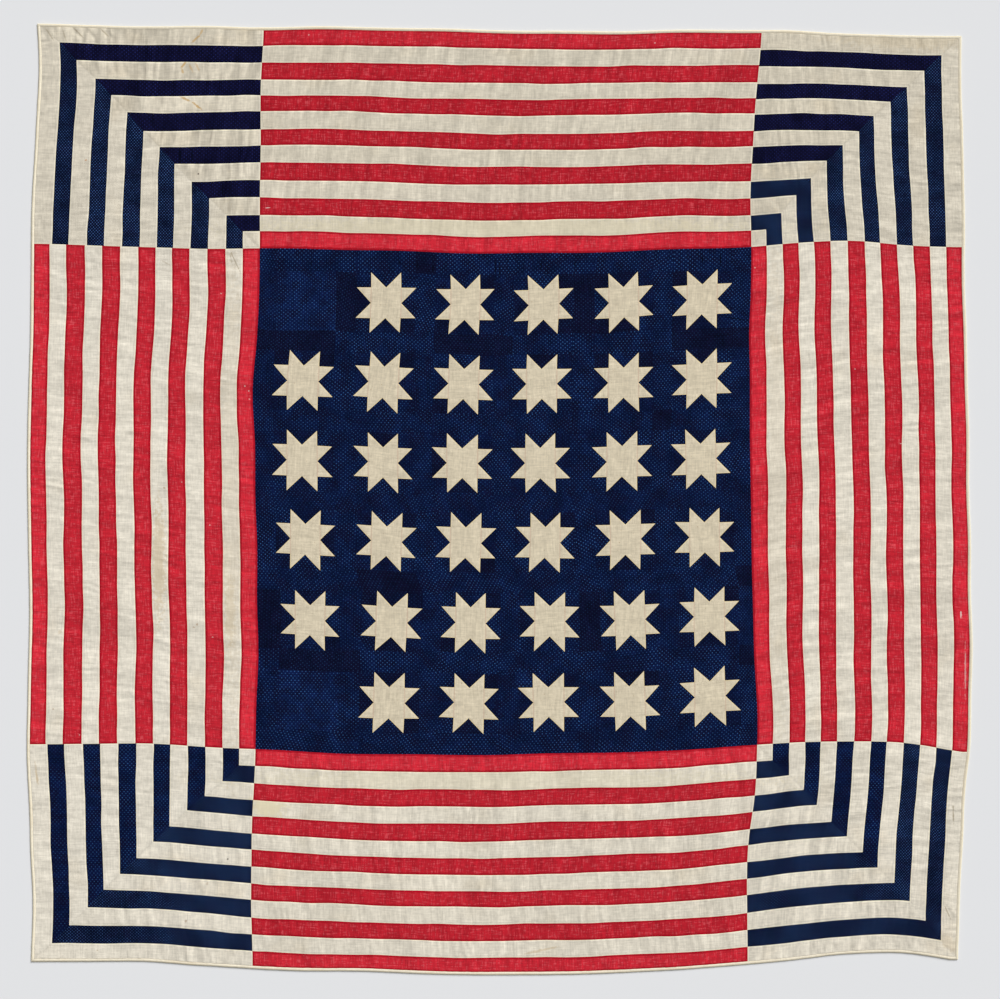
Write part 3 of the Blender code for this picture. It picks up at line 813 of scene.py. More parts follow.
class Strips:
    """The strips along one side: where their seams lie, counted in from the binding."""

    def __init__(self, side, outer_extra=0.0):
        outermost, *others = STRIP_WIDTHS[side]
        ends = np.cumsum([outermost + outer_extra, *others])
        self.bounds = np.concatenate(([0.0], ends * BORDER_DEPTH / ends[-1]))
        self.count = len(ends)
        half = np.array(HALF_STRIP_SHARES) / 2
        self.shares = np.concatenate((half, 1 - half[-2::-1]))
        self.steps = np.append(
            [low + self.shares[:-1] * (high - low) for low, high in self.each()], BORDER_DEPTH
        )

    def each(self):
        return zip(self.bounds, self.bounds[1:])

    def place_of(self, depth):
        """The number of the strip that a depth lies in, with its share of the way across it."""
        number = np.searchsorted(self.bounds, depth, side="right") - 1
        number = np.clip(number, 0, self.count - 1)
        return number + (depth - self.bounds[number]) / np.diff(self.bounds)[number]

    def wandered(self, depth, along, near_end, start):
        """A depth into the strips, moved as the hand-sewn seams on either side wander."""
        place = self.place_of(depth)
        on_rim = np.clip(place, 0, 1) * np.clip(self.count - place, 0, 1)
        fade = np.clip(near_end / WANDER_FADE, 0, 1)
        wander = WANDER.at(along / WANDER_LENGTH + start, place)
        return depth + HAND_WANDER * on_rim * fade * wander

    def relief(self, number, depth, along, near_end, height, start):
        """A strip's distance to its seams, its ridges, and its depth as it was sewn."""
        low, high = self.bounds[number : number + 2]
        inside = np.clip(depth, low + HAIR, high - HAIR)
        from_low = depth - low + INNER_SEAM * (number == 0)
        to_seam = np.minimum(from_low, high - depth)
        ridges = cross_ridges(inside, to_seam, along, near_end, height, start)
        return to_seam, ridges, self.wandered(depth, along, near_end, start)


def puckers(part, along, depth, start):
    length, width, row = PUCKER_PARTS[part]
    return PUCKERS.at(along / length + start, depth / width + row)


def cross_ridges(depth, to_seam, along, near_end, height, start):
    """Short ridges across the strips, a little aslant, that fade out at cross seams."""
    bend = PUCKER_BEND * puckers("bend", along, depth, start)
    slant = along + PUCKER_SLANT * depth + bend
    middle, most = STRENGTH_RANGE
    strength = middle + most * puckers("strength", along, depth, start)
    seam_pull = PUCKER_HEIGHT * np.exp(-to_seam / PUCKER_REACH)
    fine = (height * strength + seam_pull) * puckers("fine", slant, depth, start)
    broad = BROAD_SHARE * height * puckers("broad", slant, depth, start)
    return (1 - np.exp(-near_end / PUCKER_FADE)) * (fine + broad)


def grid_faces(rows, columns):
    """Four-sided faces of a grid whose points are numbered row by row."""
    corner = np.arange(rows * columns).reshape(rows, columns)
    loops = (corner[:-1, :-1], corner[:-1, 1:], corner[1:, 1:], corner[1:, :-1])
    return np.stack([side.ravel() for side in loops], axis=1)


def make_border(side, place, length, runs_up):
    """A striped border. Red strips, the outermost and innermost among them, and cream."""
    name = "border_" + side
    outermost, middle, innermost, cream = BORDER_TONES[name]
    height = STRIP_PUCKERS[name][runs_up]
    panel = Panel(name + "_cloth", ("red", "cream", "muslin"))
    start = panel.chance.uniform(0, RANDOM_STARTS)
    strips = Strips(side)
    stations = even_stations(length) - length / 2
    for number, (low, high) in enumerate(strips.each()):
        rows = low + strips.shares * (high - low)
        depth, along = np.meshgrid(rows, stations, indexing="ij")
        faces = grid_faces(*depth.shape)
        depth, along = depth.ravel(), along.ravel()
        near_end = length / 2 - np.abs(along)
        to_seam, ridges, sewn = strips.relief(number, depth, along, near_end, height, start)
        cut = panel.print_offset()
        tone = {0: outermost, strips.count - 1: innermost}.get(number, middle)
        tone = (cream if number % 2 else tone) + panel.chance.uniform(-1, 1) * TONE_SPREAD
        panel.patch(
            place(across_field(along, length), from_low_edge(sewn)),
            np.minimum(to_seam, near_end),
            (along + cut[0], depth + cut[1]),
            faces,
            "cream" if number % 2 else "red",
            tone,
            ridges,
        )
    return panel.finish("muslin")


def corner_faces(row, column):
    """Faces of a corner strip's grid on its own side of the mitre."""
    kept = []
    for face in grid_faces(*row.shape):
        corners = [corner for corner in face if column.flat[corner] >= row.flat[corner]]
        if len(corners) > 2:
            kept.append(tuple(corners))
    return kept


def make_corner(end, side, column_at, row_at):
    """A corner block: each strip is an L, mitred where two equal seams meet."""
    name = f"corner_{end}_{side}"
    prints = CORNER_PRINTS[name]
    panel = Panel(name + "_cloth", ("cream", *dict.fromkeys(prints), "muslin"))
    start = panel.chance.uniform(0, RANDOM_STARTS)
    up_extra, across_extra = CORNER_OUTER_EXTRA[name]
    both = Strips(end, across_extra), Strips(side, up_extra)
    for runs_up in (0, 1):
        own, other = both[runs_up], both[1 - runs_up]
        height = STRIP_PUCKERS[name][runs_up]
        start += UPRIGHT_START * runs_up
        per_strip = len(own.shares) - 1
        for number, (low, high) in enumerate(own.each()):
            rows = np.arange(number * per_strip, (number + 1) * per_strip + 1)
            columns = np.arange(rows[0], len(other.steps))
            row, column = np.meshgrid(rows, columns, indexing="ij")
            faces = corner_faces(row, column)
            depth, along = own.steps[row].ravel(), other.steps[column].ravel()
            mitre = np.maximum(along - other.steps[row].ravel(), 0) / math.sqrt(2)
            to_field = BORDER_DEPTH - along
            near_end = np.minimum(mitre, to_field)
            to_seam, ridges, sewn = own.relief(number, depth, along, near_end, height, start)
            ridges -= MITRE_TROUGH * np.exp(-mitre / MITRE_REACH)
            across, up = (sewn, along) if runs_up else (along, sewn)
            cut = panel.print_offset()
            cream = number % 2 == 0
            print_cloth = prints[number >= INNERMOST_START]
            if runs_up:
                print_cloth = prints[2 + (number < OUTERMOST_END)]
            tone = CORNER_PRINT_TONE + panel.chance.uniform(-1, 1) * PRINT_SPREAD
            if cream:
                tone = CORNER_CREAM_TONES[name][runs_up]
                tone += panel.chance.uniform(-1, 1) * TONE_SPREAD
            colour_low = NO_SEAM if number == 0 else depth - low
            edge = np.minimum(np.minimum(colour_low, high - depth), to_field)
            seam = np.minimum(np.minimum(to_seam, to_field), mitre + MITRE_SEAM)
            panel.patch(
                (column_at(across), row_at(up)),
                seam,
                (along + cut[0], depth + cut[1]),
                faces,
                "cream" if cream else print_cloth,
                tone,
                ridges,
                edge,
            )
    return panel.finish("muslin")


def crowded(share):
    """A share of the way along a side, with its steps crowded towards both ends."""
    return share + EDGE_CROWD * np.sin(2 * np.pi * share) / (-2 * np.pi)


def block_place(column, row, right, up, strays):
    """Places on the quilt of points of a star block. Outside the grid they lie on the rim."""
    x = (column - (GRID - 1) / 2) * STAR_PITCH + right
    y = ((GRID - 1) / 2 - row) * STAR_PITCH + up
    if 0 <= column < GRID and 0 <= row < GRID:
        stray_x, stray_y, turn = strays[row][column]
        row_right, row_up, row_turn = STAR_ROWS[row]
        column_right, column_turn = STAR_COLUMNS[column]
        lean = math.sin(turn - math.radians(row_turn + column_turn))
        x = x + row_right + column_right + stray_x - up * lean
        y = y + row_up + stray_y + right * lean
    if column in (-1, GRID):
        x = x * 0 + math.copysign(SEAM_X, column)
    if row in (-1, GRID):
        y = y * 0 - math.copysign(SEAM_Y, row)
    return np.stack((across_field(x, FIELD_WIDTH), across_field(y, FIELD_HEIGHT)), axis=-1)


def quarter_turned(points, quarters):
    """Points of a block, turned about its middle by quarter turns."""
    for _ in range(quarters):
        points = np.stack((-points[..., 1], points[..., 0]), axis=-1)
    return points


def pink_line(distance):
    """How much the turned-under edges of a seam show through, beside that seam."""
    return np.clip(1 - distance / PINK_LINE, 0, 1)


class StarField:
    """The field's patches: star blocks, and sashes of the same print between them."""

    def __init__(self):
        self.panel = Panel("star_field_cloth", ("star_cream", "indigo_dots", "muslin"))
        chance = np.random.default_rng(SEED)
        self.strays = chance.uniform(-1, 1, (GRID, GRID, 3))
        self.strays *= (STAR_STRAY, STAR_STRAY, math.radians(STAR_TURN))

    def add(self, place, seam, flat, faces, cloth, edge, tone=None):
        """A patch, with its print turned a little off the straight."""
        chance = self.panel.chance
        turn = chance.normal(0, CUT_LEAN) + math.pi / 2 * chance.integers(0, 2)
        cut = self.panel.print_offset()
        across = flat[:, 0] * math.cos(turn) - flat[:, 1] * math.sin(turn) + cut[0]
        along = flat[:, 0] * math.sin(turn) + flat[:, 1] * math.cos(turn) + cut[1]
        chosen = chance.uniform(*PRINT_TONES)
        tone = chosen if tone is None else tone
        self.panel.patch(place.T, seam, (across, along), faces, cloth, tone, edge=edge)

    def triangle(self, column, row, quarters, corners, cloth):
        """A three-sided patch of a block. Past its last side the patch beyond is of its cloth."""
        corners = np.array(corners, float)
        number = {}
        weights = []
        for first in range(PATCH_STEPS + 1):
            for second in range(PATCH_STEPS + 1 - first):
                number[first, second] = len(weights)
                weights.append((first, second, PATCH_STEPS - first - second))
        weights = crowded(np.array(weights) / PATCH_STEPS)
        weights = weights / weights.sum(axis=1, keepdims=True)
        faces = []
        for first, second in number:
            if first + second < PATCH_STEPS:
                faces.append(((first, second), (first + 1, second), (first, second + 1)))
            if first + second < PATCH_STEPS - 1:
                faces.append(((first + 1, second), (first + 1, second + 1), (first, second + 1)))
        faces = [tuple(number[corner] for corner in face) for face in faces]
        points = weights @ corners
        sides = np.roll(corners, -1, axis=0) - np.roll(corners, 1, axis=0)
        reach = corners - np.roll(corners, 1, axis=0)
        heights = np.abs(np.cross(sides, reach)) / np.linalg.norm(sides, axis=1)
        *outer, inner = (weights * heights).T
        edge = np.minimum(*outer)
        seam = np.minimum(edge, inner + INNER_SEAM)
        tone = self.panel.chance.uniform(*SMALL_PATCH_TONES)
        if cloth == "star_cream":
            tone = pink_line(inner) if quarters % 2 == 0 else 0.0
        turned = quarter_turned(points, quarters)
        place = block_place(column, row, turned[:, 0], turned[:, 1], self.strays)
        self.add(place, seam, turned, faces, cloth, edge, tone)

    def quad(self, near, far, seam_sizes, cloth, steps=None, edge=None, tone=None):
        """A four-sided patch between two sides that have the same number of points."""
        steps = crowded(np.linspace(0, 1, SASH_STEPS + 1)) if steps is None else steps
        grid = near[None] + steps[:, None, None] * (far - near)[None]
        along, width = seam_sizes
        across = np.minimum(steps, 1 - steps)[:, None] * width
        ends = np.minimum(along - along[0], along[-1] - along)[None]
        seam = np.minimum(across, ends) + INNER_SEAM
        edge = np.full(seam.shape, NO_SEAM) if edge is None else edge
        flat = np.stack(np.broadcast_arrays(along[None], steps[:, None] * width), axis=-1)
        faces = grid_faces(*seam.shape)
        self.add(
            grid.reshape(-1, 2),
            np.minimum(seam, edge).ravel(),
            flat.reshape(-1, 2),
            faces,
            cloth,
            edge.ravel(),
            tone if tone is None or np.isscalar(tone) else tone.ravel(),
        )

    def block_points(self, column, row, right, up, quarters=0):
        points = quarter_turned(np.stack(np.broadcast_arrays(right, up), axis=-1), quarters)
        return block_place(column, row, points[..., 0], points[..., 1], self.strays)

    def star(self, column, row):
        """An eight-pointed star: a middle square with two tips on each of its sides."""
        half = crowded(np.linspace(0, 1, PATCH_STEPS + 1)) * SQUARE
        side = np.concatenate((half - SQUARE, half[1:]))
        near = self.block_points(column, row, side, -SQUARE)
        far = self.block_points(column, row, side, SQUARE)
        steps = (side + SQUARE) / (2 * SQUARE)
        pink = pink_line(SQUARE - np.abs(side)) + 0 * side[:, None]
        self.quad(near, far, (side, 2 * SQUARE), "star_cream", steps, tone=pink)
        for quarters in range(4):
            low_tip = [(SQUARE, 0), (SQUARE, -SQUARE), (TIP, -SQUARE)]
            high_tip = [(SQUARE, SQUARE), (SQUARE, 0), (TIP, SQUARE)]
            notch = [(TIP, -SQUARE), (TIP, SQUARE), (SQUARE, 0)]
            self.triangle(column, row, quarters, low_tip, "star_cream")
            self.triangle(column, row, quarters, high_tip, "star_cream")
            self.triangle(column, row, quarters, notch, "indigo_dots")
            small = SQUARE + crowded(np.linspace(0, 1, PATCH_STEPS + 1)) * (TIP - SQUARE)
            near = self.block_points(column, row, small, SQUARE, quarters)
            far = self.block_points(column, row, small, TIP, quarters)
            steps = (small - SQUARE) / (TIP - SQUARE)
            edge = np.minimum.outer(small - SQUARE, small - SQUARE)
            tone = self.panel.chance.uniform(*SMALL_PATCH_TONES)
            if (column, row, quarters) in DARK_SQUARES:
                tone = DARK_TONE
            self.quad(near, far, (small, TIP - SQUARE), "indigo_dots", steps, edge, tone)

    def side_marks(self):
        """Points along a block's side, where its patches end and between."""
        share = crowded(np.linspace(0, 1, PATCH_STEPS + 1))
        corner = share * (TIP - SQUARE)
        middle = share * 2 * SQUARE
        return np.concatenate((corner - TIP, middle[1:] - SQUARE, corner[1:] + SQUARE))

    def bare_block(self, column, row):
        marks = self.side_marks()
        near = self.block_points(column, row, marks, -TIP)
        far = self.block_points(column, row, marks, TIP)
        steps = (marks + TIP) / (2 * TIP)
        self.quad(near, far, (marks, 2 * TIP), "indigo_dots", steps, tone=BARE_TONE)

    def sashes(self):
        """The plain strips between the blocks, and the small squares where they cross."""
        marks = self.side_marks()
        wide = STAR_PITCH - 2 * TIP
        crowd = crowded(np.linspace(0, 1, SASH_STEPS + 1))
        for row in range(-1, GRID):
            across_tone = self.panel.chance.uniform(*PRINT_TONES)
            for column in range(-1, GRID):
                low = self.block_points(column, row, TIP, -TIP)
                low_far = self.block_points(column + 1, row, -TIP, -TIP)
                below = self.block_points(column, row + 1, TIP, TIP)
                below_far = self.block_points(column + 1, row + 1, -TIP, TIP)
                near = below + crowd[:, None] * (below_far - below)
                far = low + crowd[:, None] * (low_far - low)
                self.sash("crossing", (column, row), near, far, (crowd * wide, wide), across_tone)
                if row >= 0:
                    near = self.block_points(column, row, TIP, marks)
                    far = self.block_points(column + 1, row, -TIP, marks)
                    self.sash("sash_up", (column, row), near, far, (marks, wide))
                if column >= 0:
                    near = self.block_points(column, row, marks, -TIP)
                    far = self.block_points(column, row + 1, marks, TIP)
                    self.sash("sash_across", (column, row), near, far, (marks, wide), across_tone)

    def sash(self, kind, place, near, far, seam_sizes, tone=None):
        tone = DARK_TONE if place in DARK_PATCHES[kind] else tone
        self.quad(near, far, seam_sizes, "indigo_dots", tone=tone)

    def make(self):
        for row in range(GRID):
            for column in range(GRID):
                if (column, row) in BARE_BLOCKS:
                    self.bare_block(column, row)
                else:
                    self.star(column, row)
        self.sashes()
        return self.panel.finish("muslin")


def make_binding(name, place, length):
    """A folded strip along one edge, mitred where it meets the next ones."""
    inner = np.arange(ALONG_STEP, BORDER_DEPTH, ALONG_STEP)
    low = from_low_edge(inner)
    field = across_field(even_stations(length) - length / 2, length)
    high = 5 - low[::-1]
    clear = PIECE_GAP / 2 / BINDING_WIDTH
    mitre = clear * math.sqrt(2)
    start = sum(map(ord, name))
    columns = []
    for share, height in BINDING_SECTION:
        out = clear + share * (1 - clear)
        along = np.concatenate(([1 - out + mitre], low, field, high, [4 + out - mitre]))
        run = along * BORDER_DEPTH
        free = 0.0 if height == 0.0 or share == 0.0 else 1.0
        wander = WANDER.at(run / BINDING_STRAY_LENGTH + start, run * 0)
        stray = BINDING_STRAY / BINDING_WIDTH * share * wander
        from_end = np.minimum(along - 1, 4 - along) * BORDER_DEPTH
        inside = np.clip(from_end / BINDING_STILL_END, 0, 1)
        x, y = on_quilt(*place(along, 1 - (out - free * inside * np.abs(stray))))
        around = share * BINDING_PUCKER_WIDTH + run * 0
        pucker = PUCKERS.at(run / BINDING_PUCKER_LENGTH + start, around)
        z = height + free * BINDING_PUCKER * pucker * inside
        columns.append(np.stack((x, y, z), axis=1))
    points = np.array(columns)
    rows, steps = points.shape[:2]
    mesh = bpy.data.meshes.new(name + "_cloth")
    faces = [tuple(face) for face in grid_faces(rows, steps)]
    for step in range(steps - 1):
        faces.append(((rows - 1) * steps + step, (rows - 1) * steps + step + 1, step + 1, step))
    faces.append(tuple(row * steps for row in range(rows)))
    faces.append(tuple(row * steps + steps - 1 for row in range(rows)))
    mesh.from_pydata(points.reshape(-1, 3) * MM, [], faces)
    draft = bmesh.new()
    draft.from_mesh(mesh)
    bmesh.ops.recalc_face_normals(draft, faces=draft.faces)
    draft.to_mesh(mesh)
    draft.free()
    row, step = np.divmod(np.arange(rows * steps), steps)
    share = np.array(BINDING_SECTION)[row, 0]
    write_map(mesh, "weave", step * ALONG_STEP * MM, row * BINDING_ROW_STEP * MM)
    tone = np.full(len(share), BINDING_PAINTED_LIGHT[name])
    write_map(mesh, "sewing", share * BINDING_WIDTH * MM, tone)
    piece = make_piece(name + "_cloth", mesh, ("binding_cream",))
    mesh.set_sharp_from_angle(angle=math.radians(BINDING_SHARP_ANGLE))
    return piece


def linear_part(part):
    part /= 255
    return part / 12.92 if part < 0.04045 else ((part + 0.055) / 1.055) ** 2.4


def linear(colour):
    """A colour given from 0 to 255 as it looks, as the shader needs it."""
    return (*map(linear_part, colour), 1.0)


class Weave:
    """The node tree of one cloth, with short calls for the nodes that it needs."""

    def __init__(self, name, roughness, sheen):
        self.material = bpy.data.materials.new(name)
        self.material.use_nodes = True
        self.tree = self.material.node_tree
        self.shader = self.tree.nodes["Principled BSDF"]
        inputs = self.shader.inputs
        inputs["Roughness"].default_value = roughness
        inputs["Specular IOR Level"].default_value = COTTON_SHINE
        inputs["Sheen Weight"].default_value = sheen
        inputs["Sheen Roughness"].default_value = SHEEN_ROUGHNESS
        weave = self.add("UVMap", uv_map="weave").outputs["UV"]
        self.on_cloth = self.vector("SCALE", weave, Scale=1 / MM)
        sewing = self.add("UVMap", uv_map="sewing").outputs["UV"]
        parts = self.add("SeparateXYZ", {"Vector": sewing})
        self.seam = self.math("MULTIPLY", parts.outputs["X"], 1 / MM)
        self.tone = parts.outputs["Y"]
        folds = self.add("UVMap", uv_map="folds").outputs["UV"]
        self.fold = self.add("SeparateXYZ", {"Vector": folds}).outputs["X"]
        spot = self.add("TexCoord").outputs["Object"]
        self.on_quilt = self.vector("SCALE", spot, Scale=1 / MM)

    def add(self, kind, inputs=None, **settings):
        node = self.tree.nodes.new("ShaderNode" + kind)
        for key, value in settings.items():
            setattr(node, key, value)
        for key, value in (inputs or {}).items():
            self.feed(node.inputs[key], value)
        return node

    def feed(self, socket, value):
        if isinstance(value, bpy.types.NodeSocket):
            self.tree.links.new(value, socket)
        else:
            socket.default_value = linear(value) if socket.type == "RGBA" else value

    def math(self, operation, *values):
        return self.add("Math", dict(enumerate(values)), operation=operation).outputs[0]

    def vector(self, operation, *values, **named):
        node = self.add("VectorMath", {**dict(enumerate(values)), **named}, operation=operation)
        return node.outputs["Value" if operation in ("LENGTH", "DOT_PRODUCT") else "Vector"]

    def noise(self, where, size, detail=2.0, stretch=(1, 1, 1)):
        """Cloudy values about 0.5, with clouds of a size in millimetres."""
        scaled = self.vector("MULTIPLY", where, tuple(part / size for part in stretch))
        node = self.add("TexNoise", {"Vector": scaled, "Scale": 1.0, "Detail": detail})
        return node.outputs["Fac"]

    def range(self, value, from_low, from_high, to_low=0.0, to_high=1.0):
        """A value carried smoothly from one range to another."""
        inputs = {"Value": value, 1: from_low, 2: from_high, 3: to_low, 4: to_high}
        return self.add("MapRange", inputs, interpolation_type="SMOOTHSTEP").outputs["Result"]

    def mix(self, share, first, second, blend="MIX"):
        node = self.add("Mix", data_type="RGBA", blend_type=blend, clamp_factor=True)
        for socket, value in zip((0, 6, 7), (share, first, second)):
            self.feed(node.inputs[socket], value)
        return node.outputs[2]

    def brighten(self, colour, factor):
        """A colour times a factor that changes over the cloth."""
        grey = self.add("CombineXYZ", {0: factor, 1: factor, 2: factor}).outputs[0]
        return self.mix(1.0, colour, grey, "MULTIPLY")

    def threads(self, colour, strength, slub_strength):
        """Uneven threads both ways, as fine streaks, and a slow mottle over the whole."""
        along = self.noise(self.on_cloth, THREAD_SIZE, 3.0, (1 / THREAD_RUN, 1, 1))
        across = self.noise(self.on_cloth, THREAD_SIZE, 3.0, (1, 1 / THREAD_RUN, 1))
        slub = self.noise(self.on_cloth, SLUB_SIZE, 2.0, (1, 1 / SLUB_RUN, 1))
        fine = self.range(along, 0.25, 0.75, 1 - strength, 1 + strength)
        cross = self.range(across, 0.25, 0.75, 1 - strength, 1 + strength)
        thick = self.range(slub, 0.3, 0.7, 1 - slub_strength, 1 + slub_strength)
        both = self.math("MULTIPLY", self.math("MULTIPLY", fine, cross), thick)
        return self.brighten(colour, both)

    def streaks(self, size, length):
        """Streaks that run both ways with the threads, as values about 0.5."""
        along = self.noise(self.on_cloth, size, 2.0, (size / length, 1, 1))
        across = self.noise(self.on_cloth, size, 2.0, (1, size / length, 1))
        return self.math("MULTIPLY", self.math("ADD", along, across), 0.5)

    def streaked(self, colour, size, length, strength):
        """Lighter and darker streaks that run both ways with the threads."""
        streak = self.range(self.streaks(size, length), 0.4, 0.6, 1 - strength, 1 + strength)
        return self.brighten(colour, streak)

    def mottled(self, colour, size, strength):
        """Slow lighter and darker clouds over the whole quilt."""
        cloud = self.noise(self.on_quilt, size, 3.0)
        return self.brighten(colour, self.range(cloud, 0.3, 0.7, 1 - strength, 1 + strength))

    def seam_band(self, colour, edge_colour, strength, line):
        """The band that lies over the seam's folded edges, and the line where they end."""
        wobble = self.noise(self.on_cloth, ALLOWANCE_WOBBLE_SIZE)
        wobble = self.range(wobble, 0.2, 0.8, -ALLOWANCE_WOBBLE, ALLOWANCE_WOBBLE)
        place = self.math("ADD", self.seam, wobble)
        over = self.range(place, SEAM_ALLOWANCE - 0.9, SEAM_ALLOWANCE, strength, 0.0)
        colour = self.mix(over, colour, edge_colour)
        off_line = self.math("ABSOLUTE", self.math("SUBTRACT", place, SEAM_ALLOWANCE))
        return self.brighten(colour, self.range(off_line, 0.1, 0.9, 1 - line, 1.0))

    def rim(self, colour, rim_colour, strength, width):
        """The crisp rim where the cloth turns under, beside a seam."""
        return self.mix(self.range(self.seam, 0.2, width, strength, 0.0), colour, rim_colour)

    def dots(self, length, width, radius):
        """A staggered print of small dots in its cells: 1 inside a dot and 0 outside."""
        size = (length, width, 0.0)
        scaled = self.vector("MULTIPLY", self.on_cloth, (1 / length, 1 / width, 0.0))
        nearest = []
        for shift in (0.0, 0.5):
            moved = self.vector("ADD", scaled, (shift, shift, 0.0))
            off = self.vector("SUBTRACT", self.vector("FRACTION", moved), (0.5, 0.5, 0.0))
            nearest.append(self.vector("LENGTH", self.vector("MULTIPLY", off, size)))
        off = self.math("MINIMUM", *nearest)
        return self.range(off, radius * (1 - DOT_BLUR), radius * (1 + DOT_BLUR), 1.0, 0.0)

    def plain_weave(self, pitch=THREAD_PITCH, depth=THREAD_DEPTH):
        """Raised threads over and under each other, as a bump."""
        turns = 2 * math.pi / pitch
        parts = self.add("SeparateXYZ", {"Vector": self.on_cloth})
        warp = self.math("SINE", self.math("MULTIPLY", parts.outputs["X"], turns))
        weft = self.math("SINE", self.math("MULTIPLY", parts.outputs["Y"], turns))
        crossed = self.math("MULTIPLY", warp, weft)
        uneven = self.noise(self.on_cloth, UNEVEN_SIZE, 3.0)
        slack = self.noise(self.on_cloth, SLACK_SIZE, 2.0)
        uneven = self.math("ADD", uneven, slack)
        height = self.math("MULTIPLY_ADD", crossed, CROSSING_SHARE, uneven)
        bump = self.add("Bump", {"Strength": 1.0, "Distance": depth * MM, "Height": height})
        self.tree.links.new(bump.outputs["Normal"], self.shader.inputs["Normal"])

    def paint_fold_shade(self, colour):
        """Painted shade in the troughs of the folds, and painted highlight on their ridges."""
        return self.brighten(colour, self.range(self.fold, *FOLD_RANGE, *FOLD_SHADE))

    def spots(self, colour, table):
        """Stains, worn places, specks and painted shade along creases and folds, each an uneven
        oval at its place on the quilt.
        """
        ragged = self.noise(self.on_quilt, SPOT_RAGGED_SIZE, 3.0)
        ragged = self.range(ragged, 0.2, 0.8, -SPOT_RAGGED, SPOT_RAGGED)
        for x, y, length, width, turn, stain_and_shade, strength in table:
            inputs = {
                "Vector": self.on_quilt,
                "Location": (x, y, 0.0),
                "Rotation": (0.0, 0.0, math.radians(turn)),
                "Scale": (length / 2, width / 2, SPOT_DEPTH),
            }
            oval = self.add("Mapping", inputs, vector_type="TEXTURE").outputs[0]
            off = self.math("ADD", self.vector("LENGTH", oval), ragged)
            share = self.range(off, *SPOT_FADE, strength, 0.0)
            colour = self.mix(share, colour, stain_and_shade)
        return colour

    def finish(self, colour):
        self.feed(self.shader.inputs["Base Color"], colour)
        return self.material


def cream_cloth():
    """Plain cream cotton, yellowed in clouds, with a crisp rim where it turns under."""
    cloth = Weave("cream", COTTON_ROUGHNESS, 0.05)
    colour = cloth.mix(cloth.tone, CREAM_DEEP, CREAM_LIGHT)
    yellow = cloth.range(cloth.noise(cloth.on_quilt, 130.0, 3.0), 0.52, 0.8, 0.0, 0.22)
    colour = cloth.mix(yellow, colour, CREAM_AGED)
    colour = cloth.mottled(colour, 24.0, 0.05)
    colour = cloth.mottled(colour, 7.0, 0.05)
    colour = cloth.threads(colour, 0.06, 0.05)
    colour = cloth.streaked(colour, 3.4, 34.0, 0.06)
    colour = cloth.seam_band(colour, CREAM_EDGE, 0.35, 0.13)
    colour = cloth.rim(colour, CREAM_RIM, 1.0, 2.4)
    colour = cloth.spots(cloth.paint_fold_shade(colour), CREAM_SPOTS)
    cloth.plain_weave()
    return cloth.finish(colour)


def star_cloth():
    """Cream cotton of the stars: specks of brown, and pinkish lines over its upright seams."""
    cloth = Weave("star_cream", COTTON_ROUGHNESS, 0.05)
    colour = cloth.mottled(CREAM_STAR, 22.0, 0.05)
    colour = cloth.mottled(colour, 6.0, 0.05)
    colour = cloth.threads(colour, 0.07, 0.05)
    colour = cloth.streaked(colour, 3.4, 34.0, 0.06)
    colour = cloth.mix(cloth.math("MULTIPLY", cloth.tone, 0.5), colour, PINKISH)
    speck = cloth.range(cloth.noise(cloth.on_quilt, 3.5, 0.0), 0.78, 0.86, 0.0, 0.5)
    colour = cloth.mix(speck, colour, BROWN)
    colour = cloth.rim(cloth.paint_fold_shade(colour), STAR_RIM, 0.8, 2.8)
    cloth.plain_weave()
    return cloth.finish(colour)


def red_cloth():
    """Turkey red cotton: pale worn threads, and deeper over the seams' folded edges."""
    cloth = Weave("red", 0.88, 0.02)
    colour = cloth.mix(cloth.tone, RED_DEEP, RED_LIGHT)
    colour = cloth.mottled(colour, 30.0, 0.06)
    colour = cloth.mottled(colour, 7.0, 0.05)
    colour = cloth.threads(colour, 0.1, 0.08)
    worn = cloth.range(cloth.streaks(3.0, 20.0), 0.5, 0.63, 0.0, 0.5)
    colour = cloth.mix(worn, colour, RED_WORN)
    colour = cloth.brighten(colour, cloth.range(cloth.streaks(2.6, 30.0), 0.38, 0.5, 0.8, 1.0))
    colour = cloth.seam_band(colour, RED_EDGE, 0.9, 0.12)
    # Painted shade in the seams' ditch: a little darker right beside each seam
    colour = cloth.brighten(colour, cloth.range(cloth.seam, 0.3, 1.4, 0.88, 1.0))
    colour = cloth.spots(cloth.paint_fold_shade(colour), RED_SPOTS)
    cloth.plain_weave()
    return cloth.finish(colour)


